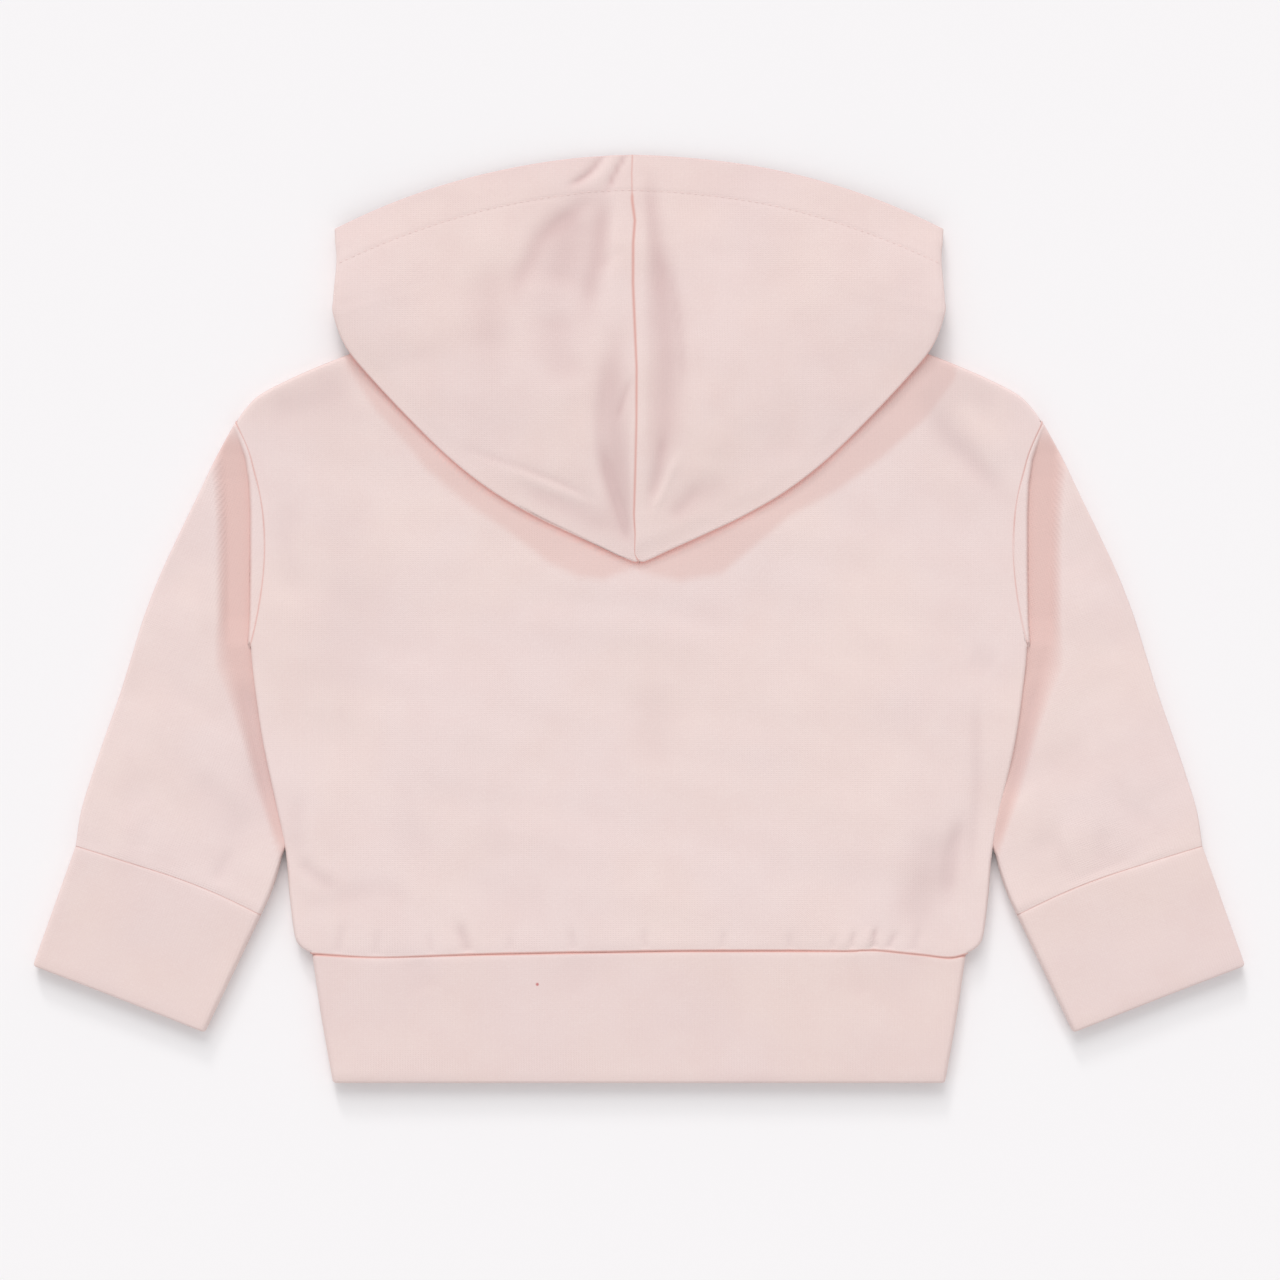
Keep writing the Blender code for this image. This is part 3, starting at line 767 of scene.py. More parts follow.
    def make_back(self, finish: bpy.types.Material) -> None:
        """Builds the back panel, its creases and its gathers."""
        half, fallen = self.half(self.back_neck, lower=False)
        points = np.concatenate([half[:, :0:-1] * [-1.0, 1.0, 1.0], half], axis=1)
        fallen = np.concatenate([fallen[:, :0:-1], fallen], axis=1)
        x, y = points[..., 0], points[..., 1]
        calm = 1 - smooth(fallen * 1.6)
        marked = relief(self.back_creases, x, y)
        marked += relief(self.gathers, x, y) * smooth((y - self.pleat_start) / self.pleat_fade)
        folds = marked + swell(x, y, 0.3, 75.0, 5) + swell(x, y, 0.1, 24.0, 8)
        covered = smooth((self.laid_height(x, y) - self.laid_neck) / (self.laid - self.laid_neck))
        points[..., 2] += calm * covered * folds
        seam = self.sewn_reach(points)
        points[..., 1] += self.waver(x) * (1 - smooth((y - self.hem_y) / self.hem_reach))
        warm, painted_through_light = self.hood_warmth(x, y)
        # Painted shade: rim darkens the turned edges near the top, and deep darkens the creases and waves and
        # grows a little darker on the upper back; the hood's painted shadow and painted light are added
        # beside it.
        rim = 0.45 * smooth(fallen * 1.4) * smooth(y - 76.0)
        deep = np.clip(-0.4 * marked - 0.08 * folds + rim + 0.08 * smooth((y - 55.0) / 20.0), 0.0, 0.5)
        grid = Grid(points, self.pattern(points, fallen), reach(points, BORDERS),
                    seam + np.where(y < -120.0, 0.15, 0.35), warm, deep, 0.8 * painted_through_light)
        lay("back", Cloth("jersey", self.wall, self.back_cut, finish), [grid], False)

    def make_fronts(self, finish: bpy.types.Material) -> None:
        """Builds the two fronts, which lie underneath and meet at the centre front."""
        half, fallen = self.half(self.front_neck, lower=True)
        half[:, 0, 0] += self.seam / 2
        x, y = half[..., 0], half[..., 1]
        lift = np.maximum(swell(x, y, 0.25, 60.0, 11) - 0.12, 0.0) * (1 - smooth(fallen * 1.6))
        half[..., 2] += lift
        grid = Grid(half, self.pattern(half, fallen), reach(half, BORDERS), self.sewn_reach(half),
                    np.zeros(half.shape[:2]))
        for side in Side:
            made_of = Cloth("jersey", self.wall, self.front_cut, finish)
            lay(f"front_{side.word()}", made_of, [grid.on(side)], side is Side.RIGHT)


# ------------------------------------------------------------------------------------ sleeves


@dataclass
class Tube:
    """A flat tube between an outer and an inner outline, ring by ring."""

    outer: Array
    inner: Array
    start: Array
    end: Array
    rings: Array
    fade: Array
    grow: Array
    inner_reach: Array
    wall: float
    height: float = 7.0
    outer_reach: float = 0.8
    flat_points: int = 44

    def shares(self) -> tuple[Array, Array]:
        """Share across for each point of a ring, and its side from -1 below to 1 above.

        Returns:
            Both go round from the outer edge over the top to the inner edge and back underneath. Where a
            ring turns, the share is 1 - cos and the side is sin of the angle.
        """
        outer, inner = at(self.outer, self.rings[:, 0]), at(self.inner, self.rings[:, 1])
        width = np.linalg.norm(outer - inner, axis=1)[:, None]
        roll = np.radians(np.linspace(0.0, 90.0, 9)[:-1])
        first, last = self.outer_reach / width, 1 - self.inner_reach[:, None] / width
        flat = first + (last - first) * np.linspace(0.0, 1.0, self.flat_points)[None, :]
        upper = np.hstack([(1 - np.cos(roll)) * first, flat, 1 - (1 - np.cos(roll[::-1])) * (1 - last)])
        side = np.concatenate([np.sin(roll), np.ones(self.flat_points), np.sin(roll[::-1])])
        return np.hstack([upper, upper[:, -2::-1]]), np.concatenate([side, -side[-2::-1]])

    def points(self) -> tuple[Array, Array, Array]:
        """Middle points of the tube, with the share across and the side of each.

        Returns:
            Each ring is the chord between the outlines, bent like the first end by fade and like the
            last end by grow. The last column repeats the first, which closes the tube.
        """
        u, side = self.shares()
        across = u[..., None]
        outer, inner = at(self.outer, self.rings[:, 0]), at(self.inner, self.rings[:, 1])
        plan = outer[:, None] * (1 - across) + inner[:, None] * across
        for end, share in ((self.start, self.fade), (self.end, self.grow)):
            chord = end[0] * (1 - across) + end[-1] * across
            plan = plan + share[:, None, None] * (at(end, u) - chord)
        z = self.height / 2 + (self.height - self.wall) / 2 * np.broadcast_to(side, u.shape)
        points = np.dstack([plan, z])
        points[:, -1] = points[:, 0]
        return points, u, side


@dataclass
class Arms:
    """The two sleeves and the two deep cuffs.

    ledge is the line where the sleeve drops from the body's level: beside the armhole it stands off the
    seam, and below the armpit it is the body's own side, which lies over the sleeve's inner fold. hollow
    gives for each y the height of the sleeve beside the ledge, the width of its lowest part and the
    width of the rise after it.
    """

    wall: float = 1.5
    band: float = 2.3
    height: float = 7.0
    lap: float = 0.35
    head: float = 0.45
    head_length: float = 40.0
    head_rings: int = 46
    fold_reach: float = 0.75
    lean: float = math.radians(-21.0)
    sleeve_cut: Cut = Cut(215.0, 200.0, "laid", ("floor",))
    cuff_cut: Cut = Cut(150.0, 52.0, "laid", ("floor",))
    ledge: Pairs = (
        (139.6, -110.5), (141.4, -92.5), (145.6, -72), (150.6, -48.5), (153.6, -28), (154.9, -17.5),
        (155.2, -10.9), (154.5, 0), (154.2, 20), (154.2, 42), (154.7, 54), (156.2, 64), (158.6, 71),
        (161.6, 78.6))
    hollow: tuple[Row, ...] = (
        (-100, 7, 0.6, 2), (-94, 6.3, 0.8, 2.2), (-84, 5.95, 1.6, 3), (-68, 5.85, 2.8, 4),
        (-48, 5.5, 3.4, 4.8), (-30, 5.15, 4.6, 7), (-20, 4.95, 5.4, 9), (-11, 5.3, 7.4, 6.6),
        (-7, 4.9, 8.2, 6), (0, 4.3, 9.2, 5), (40, 4.3, 9.8, 5), (56, 4.6, 9.8, 5.5), (66, 5.3, 8.4, 6),
        (74, 6.5, 6, 6), (80, 7, 4, 6))
    outer: Pairs = (
        (161.8, 78.2), (168.8, 65.5), (176.4, 49.5), (184.2, 33.5), (191.6, 17.5), (197.8, 1.5),
        (202.8, -14.5), (207.8, -30.5), (213.4, -46.5), (218.8, -62.5), (223.2, -77), (225.3, -90.7))
    inner: Pairs = (
        (153.6, -10.9), (153.1, -17.5), (151.9, -28), (148.9, -48.5), (144, -72), (140.6, -86),
        (140.8, -91), (142.5, -94.2), (143.7, -99), (145.2, -104), (147.6, -110.8), (151, -118.3))
    cuff_seam: Pairs = ((225.3, -90.7), (204, -97.3), (184, -103.8), (168, -110.2), (151, -118.3))
    cuff_edge: Pairs = ((242.4, -138.6), (208, -151.8), (173.6, -165.4))
    ring_shares: Pairs = (
        (0, 0), (0.06, 0.03), (0.13, 0.065), (0.2, 0.105), (0.28, 0.15), (0.36, 0.205), (0.46, 0.28),
        (0.56, 0.37), (0.66, 0.48), (0.77, 0.62), (0.88, 0.79), (0.95, 0.92), (1, 1))
    right_creases: tuple[Crease, ...] = crease_table(
        (4, -0.9, 160, -20, 150, -76), (6, -0.5, 176, -70, 158, -96), (5, -0.35, 206, -84, 190, -70),
        (9, 0.45, 196, -40, 206, -72), (9, 0.4, 172, 20, 188, -30), (3.5, -0.4, 166, -86, 172, -104),
        (4, -0.3, 186, -84, 184, -98))
    left_creases: tuple[Crease, ...] = crease_table(
        (4.5, -0.9, 159, -16, 148, -80), (7, -0.55, 178, -62, 154, -88), (6, -0.3, 210, -80, 196, -66),
        (10, 0.45, 192, -30, 204, -66), (8, 0.35, 168, 26, 186, -24), (3, -0.35, 162, -92, 170, -106),
        (4, -0.3, 196, -80, 198, -93))

    def sleeve_tube(self, armhole: Array) -> Tube:
        """The sleeve's tube from the armhole to the cuff's seam."""
        wrist = trimmed(shifted(curve(self.cuff_seam), self.lap), self.wall / 2, self.wall / 2)
        under_arm = curve(self.inner)
        start = np.vstack([shifted(armhole, -self.lap)[:-1], under_arm[0] + (self.wall / 2, 0.0)])
        outer, inner = shifted(curve(self.outer), -self.wall / 2), shifted(under_arm, self.wall / 2)
        outer[0], outer[-1], inner[0], inner[-1] = start[0], wrist[0], start[-1], wrist[-1]
        knots = np.array(self.ring_shares)
        whole = length_of(outer)
        near = self.head_length / whole
        shares = np.concatenate([np.linspace(0.0, near, self.head_rings)[:-1],
                                 near + (1 - near) * graded(whole - self.head_length, 1.9, False, True)])
        rings = catmull(knots, shares * (len(knots) - 1))
        return Tube(outer, inner, start, wrist, rings, (1 - np.minimum(rings[:, 0] / self.head, 1.0)) ** 2,
                    rings[:, 0] ** 3, np.full(len(rings), self.fold_reach), self.wall, flat_points=84)

    def hollowed(self, x: Array, y: Array) -> tuple[Array, Array]:
        """Height of the sleeve beside the body.

        Args:
            x: plan x of the points, on the right. y: plan y of the points.

        Returns:
            The whole sleeve's height at each point, and 1 where it is in the hollow, 0 outside and a
            share between on the rise. It drops over 1 mm at the ledge, keeps low for the hollow's width and
            rises over the width of its rise.
        """
        line_x, line_y = np.array(self.ledge).T
        rows = np.array(self.hollow)
        low, width, rise = (np.interp(y, rows[:, 0], rows[:, k]) for k in (1, 2, 3))
        away = (x - np.interp(y, line_y, line_x)) * 0.97
        drop = np.maximum(smooth((away + 0.1) / 1.1), 1 - smooth((y + 11.6) / 2.0))
        inside = drop * (1 - smooth((away - width) / rise))
        return self.height - (self.height - low) * inside, inside * smooth((self.height - low) / 1.4)

    def make_sleeves(self, body: Body, finish: bpy.types.Material) -> None:
        """Builds both sleeves.

        Args:
            body: gives the armhole. finish: the jersey.
        """
        armhole = trimmed(curve(body.armhole)[::-1], self.wall / 2, 0.0)
        tube = self.sleeve_tube(armhole)
        for side, creases in ((Side.RIGHT, self.right_creases), (Side.LEFT, self.left_creases)):
            points, u, way = tube.points()
            x, y = points[..., 0], points[..., 1]
            away = np.linalg.norm(points[:, :, None, :2] - armhole[::5], axis=3).min(axis=2)
            top = np.clip(way, 0.0, 1.0)[None, :] ** 2
            rim = np.clip(1 - way**2, 0.0, 1.0)[None, :]
            to_cuff = reach(points, (Edge.LAST_ROW,))
            high, deep = self.hollowed(x, y)
            points[..., 2] = self.wall / 2 + (points[..., 2] - self.wall / 2) * (high - self.wall) / (
                self.height - self.wall)
            folds = relief(creases, x, y) + swell(x, y, 0.3, 60.0, 21 + int(side.value))
            folds = (folds + swell(x, y, 0.1, 20.0, 3)) * smooth((away - 4.0) / 20.0) * smooth(to_cuff / 4.0)
            points[..., 2] += top * (folds - 0.2 * (1 - smooth(to_cuff / 2.5)))
            points[:, -1] = points[:, 0]
            seam = np.minimum(away + 0.35, np.abs(to_cuff - self.lap) + 0.5)
            # Painted shade: dark darkens creases and the outer folded edge, and the hollow beside the body
            # gets a painted coral shade.
            dark = np.clip(-0.3 * top * folds + 0.35 * rim * (u < 0.5), 0.0, 0.45)
            warm = top * 0.92 * deep**0.45
            grid = Grid(points, self.pattern(points, u), reach(points, ENDS), seam, warm, dark)
            made_of = Cloth("jersey", self.wall, self.sleeve_cut, finish)
            lay(f"sleeve_{side.word()}", made_of, [grid.on(side)], side is Side.LEFT)

    def pattern(self, points: Array, u: Array) -> Array:
        """Plan coordinates turned to the sleeve's own run, carried on round the folded edges."""
        x, y = points[..., 0], points[..., 1]
        across = x * math.cos(self.lean) - y * math.sin(self.lean)
        down = self.height - self.wall / 2 - points[..., 2]
        along = x * math.sin(self.lean) + y * math.cos(self.lean)
        return np.dstack([across - (2 * u - 1) * down, along])

    def make_cuffs(self, finish: bpy.types.Material) -> None:
        """Builds both cuffs, flat tubes of doubled cloth whose lower edge is a fold."""
        straight = [np.linspace(self.cuff_seam[k], self.cuff_edge[k], 60) for k in (0, -1)]
        wrist = trimmed(shifted(curve(self.cuff_seam), -self.lap), self.band / 2, self.band / 2)
        edge = trimmed(curve(self.cuff_edge), self.band / 2, self.band / 2)
        outer, inner = shifted(straight[0], -self.band / 2), shifted(straight[1], self.band / 2)
        outer[0], outer[-1], inner[0], inner[-1] = wrist[0], edge[0], wrist[-1], edge[-1]
        shares = graded(length_of(outer), 1.6)
        rings = np.column_stack([shares, shares])
        tube = Tube(outer, inner, wrist, edge, rings, 1 - shares, shares,
                    np.full(len(shares), self.fold_reach), self.band, flat_points=52)
        for side in Side:
            points, u, way = tube.points()
            x, y = points[..., 0], points[..., 1]
            to_seam = reach(points, (Edge.FIRST_ROW,))
            to_edge = reach(points, (Edge.LAST_ROW,))
            top = np.clip(way, 0.0, 1.0)[None, :]
            sag = 0.2 * (1 - smooth(to_seam / 2.2)) + 0.3 * (1 - smooth(to_edge / 4.0))
            waves = swell(x, y, 0.16, 40.0, 31 + int(side.value)) * smooth(to_seam / 3.0)
            points[..., 2] += top * (waves - sag)
            points[:, -1] = points[:, 0]
            seam = np.abs(to_seam - self.lap) + 0.4
            grid = Grid(points, self.pattern(points, u), reach(points, ENDS), seam, np.zeros(u.shape))
            made_of = Cloth("band", self.band, self.cuff_cut, finish)
            lay(f"cuff_{side.word()}", made_of, [grid.on(side)], side is Side.LEFT)


# ------------------------------------------------------------------------------------ waistband


@dataclass
class Waistband:
    """The deep turned waistband, one strip from centre front round the back to centre front."""

    wall: float = 2.3
    height: float = 7.0
    lap: float = 0.35
    fold_reach: float = 1.1
    seam: float = 0.16
    span: float = 128.0
    cut: Cut = Cut(530.0, 53.0, "folded", ("floor",))
    side: Pairs = ((130.8, -133.8), (127.2, -158.5), (122.4, -185.7))
    creases: tuple[Crease, ...] = crease_table(
        (6, -0.3, -90, -134, -84, -150), (5, -0.3, 84, -134, 90, -152), (8, -0.2, -30, -136, -20, -150),
        (12, 0.25, 40, -160, 110, -166))

    def make(self, body: Body, finish: bpy.types.Material) -> None:
        """Builds the waistband: its sides turn through half an ellipse between the two layers."""
        half = (self.height - self.wall) / 2
        edge = shifted(curve(self.side), -self.wall / 2)
        rows = at(edge, graded(length_of(edge), 1.5))
        across = graded(self.span, 1.6, True, False)
        turn = np.radians(np.linspace(-90.0, 90.0, 17))[1:-1]
        flat = (rows[:, :1] - self.fold_reach) * across[None, :]
        x = np.hstack([flat, rows[:, :1] - self.fold_reach * (1 - np.cos(turn)[None, :]), flat[:, ::-1]])
        x[:, 0] = self.seam / 2
        way = np.concatenate([-np.ones(len(across)), np.sin(turn), np.ones(len(across))])
        y = np.broadcast_to(rows[:, 1:], x.shape).copy()
        y[0] += self.lap
        z = np.broadcast_to(self.height / 2 + half * way, x.shape)
        right = np.dstack([x, y, z])
        points = np.concatenate([right, right[:, -2::-1] * [-1.0, 1.0, 1.0]], axis=1)
        way = np.concatenate([way, way[-2::-1]])
        x, y = points[..., 0], points[..., 1]
        to_seam, to_hem = reach(points, (Edge.FIRST_ROW,)), reach(points, (Edge.LAST_ROW,))
        sag = 0.2 * (1 - smooth(to_seam / 2.4)) + 0.3 * (1 - smooth(to_hem / 4.0))
        top = np.clip(way, 0.0, 1.0)[None, :]
        folds = relief(self.creases, x, y) + swell(x, y, 0.14, 50.0, 41)
        points[..., 2] += top * (folds * smooth(to_seam / 3.0) * smooth(to_hem / 3.0) - sag)
        points[..., 1] += top * body.waver(x) * (1 - smooth((body.hem_y - y) / body.hem_reach))
        down = self.height - self.wall / 2 - points[..., 2]
        pattern = np.dstack([x * (1 + down / 130.0), y])
        # The waistband's creases get painted shade.
        grid = Grid(points, pattern, reach(points, BORDERS), np.abs(to_seam - self.lap) + 0.12,
                    np.zeros(points.shape[:2]), top * np.clip(-0.3 * folds, 0.0, 0.3))
        lay("waistband", Cloth("band", self.wall, self.cut, finish), [grid], True)


# ------------------------------------------------------------------------------------ hood


@dataclass
class Hood:
    """The two hood panels. A spoke runs from the neckline, under the hood, round its fold and over it.

    hem is the width of the turned edge at the opening, groove the depth and width of its stitched line,
    and seam_valley those of the dip along the centre seam.
    Spoke columns: neck x, y; way under x, y; fold x, y; way over x, y; crown y; on_back, 1 where the
    under layer lies on the back and 0 where it lies on the surface; radius of the fold.
    """

    wall: float = 1.5
    lap: float = 0.35
    hem: float = 14.6
    seam_fades: float = 168.0
    fold_fade: float = 60.0
    turn_reach: float = 0.5
    pressed: float = 0.56
    press_fades: float = 9.0
    tip: float = 22.3
    clear: float = 0.22
    keep_off: float = 0.37
    hem_rise: float = 0.08
    groove: tuple[float, float] = (-0.1, 0.8)
    seam_valley: tuple[float, float] = (-0.3, 1.2)
    cut: Cut = Cut(250.0, 205.0, "folded", ("back_cloth", "floor"))
    spokes: tuple[Row, ...] = (
        (0, 107, 0, 64, 0, 22.3, 0, 22.3, 22.3, 1, 0.52),
        (3, 107, 3.2, 65, 3.2, 22.6, 1.6, 27, 29.5, 1, 0.52),
        (10, 107.4, 11, 66, 13, 27, 6.5, 34, 40, 1, 0.52),
        (18, 108.2, 20, 70, 26.6, 33.2, 13, 45, 53, 1, 0.52),
        (28, 109.6, 32, 74, 42.4, 40.8, 21, 57, 67, 1, 0.52),
        (38, 111.6, 46, 80, 58.8, 50.4, 29, 70, 82, 1, 0.52),
        (48, 114.6, 60, 88, 75.1, 63, 37, 84, 98, 1, 0.52),
        (57, 118.4, 73, 98, 91.4, 78.8, 46, 100, 114, 1, 0.52),
        (64.5, 122.2, 85, 108, 107.7, 96.2, 54, 116, 129, 1, 0.52),
        (69.5, 126, 94, 117.5, 117.4, 108.4, 59, 127, 139, 1, 1.15),
        (73.5, 131.5, 97, 127, 122.2, 121.4, 61, 138, 149.5, 0.25, 4.2),
        (71, 137, 93, 134, 122.1, 127.5, 61, 144, 155, 0, 5),
        (71, 138.9, 94, 138.5, 121.7, 133, 61, 150, 160.5, 0, 4.75),
        (71, 140.8, 95, 142, 121.2, 138, 61, 156, 166, 0, 4.45),
        (71, 142.7, 95, 145, 120.9, 142.5, 61, 161.5, 171.5, 0, 4.15),
        (71, 144.6, 95, 147.5, 121, 146.5, 62, 166.5, 176, 0, 3.85),
        (71, 146.5, 95, 150, 121.4, 150, 62.5, 171.5, 179.8, 0, 3.6),
        (71, 148.4, 95, 152.5, 121.6, 153, 63.7, 177, 183, 0, 3.3),
        (71, 150.3, 95, 155, 121.8, 156, 66, 184.2, 185.6, 0, 3))
    front: tuple[Row, ...] = (
        (67, 131, 56, 146.5), (63, 122.5, 42, 140.5), (60.3, 112, 30, 132.5), (54.5, 101, 20, 123),
        (43.2, 91.4, 11.5, 111), (21.8, 80.8, 4, 96), (0, 76.8, 0, 84))
    first_front_spoke: int = 11
    crest: Pairs = (
        (22, 9.7), (40, 10.8), (60, 11.3), (90, 11), (106, 10.4), (124, 9.5), (150, 7.8), (172, 5.7),
        (186, 3.9))
    seam_line: Pairs = (
        (22, -1.8), (34, -1.4), (42, -1.9), (61, -1.4), (80, -1), (100, -0.9), (134, -2.4), (150, -2.3),
        (159, -1.6), (167, -2.7), (178, -2.9), (186, -2.6))
    right_creases: tuple[Crease, ...] = crease_table(
        (3.6, -0.75, 4.4, 175.5, 5.2, 161.5, 7.2, 147.5, 10, 127.5),
        (6.6, -0.88, 7.2, 150, 9.6, 127.5, 11, 107.5, 11, 95.5, 10.2, 79.5, 8.2, 60),
        (2.8, -0.7, 10.4, 74, 7.6, 58, 4.6, 46.3), (1.4, -0.3, 13, 140, 15.4, 124, 17.6, 106, 17.6, 92),
        (1.6, 0.4, 16.4, 66, 11, 53, 6.4, 42.7), (3, -0.3, 24.4, 53.5, 18, 45, 12.4, 39.5),
        (6, -0.35, 10, 42, 22, 48, 36, 56), (1.6, 0.4, 1.4, 176, 1.6, 120, 1.4, 40),
        (9, 0.4, 28, 150, 32, 120, 32, 90), (6, 0.25, 26, 66, 44, 84))
    left_creases: tuple[Crease, ...] = crease_table(
        (1.5, -0.95, -13.8, 187.5, -19.6, 178.7, -27.6, 172.6),
        (1.8, 0.35, -9.6, 187, -13.6, 179, -20, 173), (1.3, -1, -4.6, 187.5, -8.8, 180.3, -13.2, 170.5),
        (3.9, -0.7, -17.6, 168.7, -37.6, 153.5, -43.6, 142.7, -48, 133.5, -47.6, 125.5),
        (9.5, -0.75, -24, 163, -29, 148, -33, 130),
        (3.9, -0.8, -14.4, 168.7, -15.2, 155.5, -16.8, 143.5, -19.6, 131.5, -20.4, 121),
        (2.2, -0.25, -6.8, 147.5, -15.6, 140.3), (2.8, 0.4, -8.6, 166, -9.2, 140, -9.4, 118),
        (8, -0.42, -57, 144, -60, 124, -58, 102), (8, -0.45, -34, 124, -32, 108, -27, 92),
        (5.4, -0.86, -8.6, 116, -10.6, 98, -10.4, 80, -8.6, 60, -6.4, 44, -4, 28),
        (2.7, -0.38, -14.4, 100, -16.2, 75.5, -14.4, 60.5, -10.8, 49),
        (2.6, -0.6, -15, 68, -11, 51.5, -6.8, 39.5, -4.4, 29.5),
        (1.4, -0.5, -4, 94.7, -6.4, 87.5, -8.8, 79.5), (2.8, 0.35, -23, 84, -22, 62, -17, 46),
        (1.3, 0.3, -2.6, 84, -2.8, 56, -2, 34), (6, -0.5, -48, 52, -26, 43, -9, 33),
        (1.3, -0.3, -70.4, 68.3, -39.6, 57.5, -18.8, 48.3), (2, 0.35, -52, 58.8, -21.6, 47))

    def fine_spokes(self) -> Array:
        """The spokes table read at many more places: straight under the hood, curved at fold and crown."""
        knots = np.array(self.spokes)
        first = graded(20.0, 1.6, True, False)
        rest = np.linspace(1.0, len(knots) - 1.0, 8 * (len(knots) - 2) + 1)
        edge = len(knots) - 1.0 - np.array([0.03, 0.09, 0.18, 0.3, 0.45, 0.62])
        place = np.unique(np.concatenate([first, rest[rest < edge[-1]], edge, [len(knots) - 1.0]]))
        fine = catmull(knots, place)
        for k in (0, 1, 2, 3, 9, 10):
            fine[:, k] = np.interp(place, np.arange(len(knots)), knots[:, k])
        self.front_from = int(np.flatnonzero(place >= self.first_front_spoke)[0])
        return fine

    def under_height(self, x: Array, y: Array, on_back: Array, full: Array, body: Body) -> Array:
        """Middle height of the under layer, on the back or on the surface below.

        Args:
            x: plan x. y: plan y. on_back: 1 on the back, 0 on the surface. full: share of the whole
                wall that the cloth has. body: gives the height of the back.

        Returns:
            The height at each point.
        """
        thick = body.laid_height(x, y)
        slope = (body.laid - thick) / (body.laid - body.laid_neck)
        on_top = thick + self.clear + self.wall / 2 * full + 0.9 * np.minimum(1.0, 8 * slope * (1 - slope))
        return on_back * on_top + (1 - on_back) * self.wall / 2

    def half(self, body: Body, side: Side) -> tuple[list[Grid], Array]:
        """One hood panel, worked out on the right and mirrored for the left.

        Args:
            body: gives the height of what the hood lies on. side: which panel.

        Returns:
            The grid of spokes and the grid of the part in front of the neck, and the column number where
            the upper layer starts. The upper layer is the crest's height plus what is left of the
            fold's height, which dies out over fold_fade. Where the hood lies on the back its fold is
            pressed: the wall there is thinner by the share pressed, which dies out over press_fades.
        """
        spokes = self.fine_spokes()
        neck, under, fold, over = (spokes[:, k:k + 2].copy() for k in (0, 2, 4, 6))
        crown = np.column_stack([np.zeros(len(spokes)), spokes[:, 8]])
        on_back, roll = spokes[:, 9:10], spokes[:, 10:11]
        run = np.gradient(fold, axis=0)
        run[0] = (1.0, 0.0)
        run /= np.linalg.norm(run, axis=1)[:, None]
        out = np.column_stack([run[:, 1], -run[:, 0]])
        rim = fold - out * (self.turn_reach + self.wall / 2)
        over[0] = crown[0] = rim[0]
        under_steps = graded(80.0, 4.0, True, False)
        below = bow(neck, under, rim, under_steps)
        angles = np.radians(np.linspace(0.0, 180.0, 15))[1:-1]
        turn = rim[:, None] + out[:, None] * (self.turn_reach * np.sin(angles)[None, :])[..., None]
        above = bow(rim, over, crown, graded(110.0, 1.9, False, True))
        to_rim = np.linalg.norm(below - rim[:, None], axis=2)
        from_fold = np.linalg.norm(above - rim[:, None], axis=2)
        thin = self.pressed * on_back
        full = 1 - thin * (1 - smooth(np.hstack([to_rim, 0 * turn[..., 0], from_fold]) / self.press_fades))
        z_below = self.under_height(below[..., 0], below[..., 1], on_back, full[:, :below.shape[1]], body)
        z_rim = z_below[:, -1:]
        z_turn = z_rim + roll * (1 - np.cos(angles))[None, :]
        crest_y, crest_z = np.array(self.crest).T
        crest = np.interp(above[..., 1], crest_y, crest_z)
        z_above = crest + (z_rim + 2 * roll - crest[:, :1]) * (1 - smooth(from_fold / self.fold_fade))
        top = below.shape[1] + turn.shape[1]
        points = np.dstack([np.concatenate([below, turn, above], axis=1),
                            np.hstack([z_below, z_turn, z_above])])
        pattern = points[..., :2].copy()
        drop = np.hstack([np.broadcast_to(2 * roll, z_below.shape), z_rim + 2 * roll - z_turn, 0 * z_above])
        pattern += out[:, None] * drop[..., None]
        points, deep = self.dressed(points, top, from_fold, side)
        least = body.laid_height(points[:, top:, 0], points[:, top:, 1]) + self.keep_off
        least = least + self.wall / 2 * full[:, top:]
        points[:, top:, 2] = np.maximum(points[:, top:, 2], on_back * least)
        to_seam = reach(points, (Edge.LAST_COLUMN,))
        edge = reach(points, BORDERS)
        seam = 0.85 * np.abs(to_seam - self.lap * smooth((points[..., 1] - self.tip) / 6.0))
        edge[self.front_from:, :top] = reach(points, (Edge.LAST_ROW,))[self.front_from:, :top]
        edge = np.minimum(edge, self.wall / 2 * (1 - np.sqrt(1 - full**2)))
        seam += 0.4 * smooth((points[..., 1] - self.seam_fades) / 3.0)
        # Painted light: a brighter coral on the fold's underside where it lies on the back, in place of its
        # shade.
        painted_fold_light = np.zeros(points.shape[:2])
        painted_fold_light[:, below.shape[1] - 1:top] = on_back * (1 - smooth((np.degrees(angles) - 100.0) / 60.0))[
            np.append(0, np.arange(len(angles)))]
        return [Grid(points, pattern, edge, seam, np.zeros(edge.shape), deep, painted_fold_light),
                self.front_part(points[self.front_from:, 0])], top

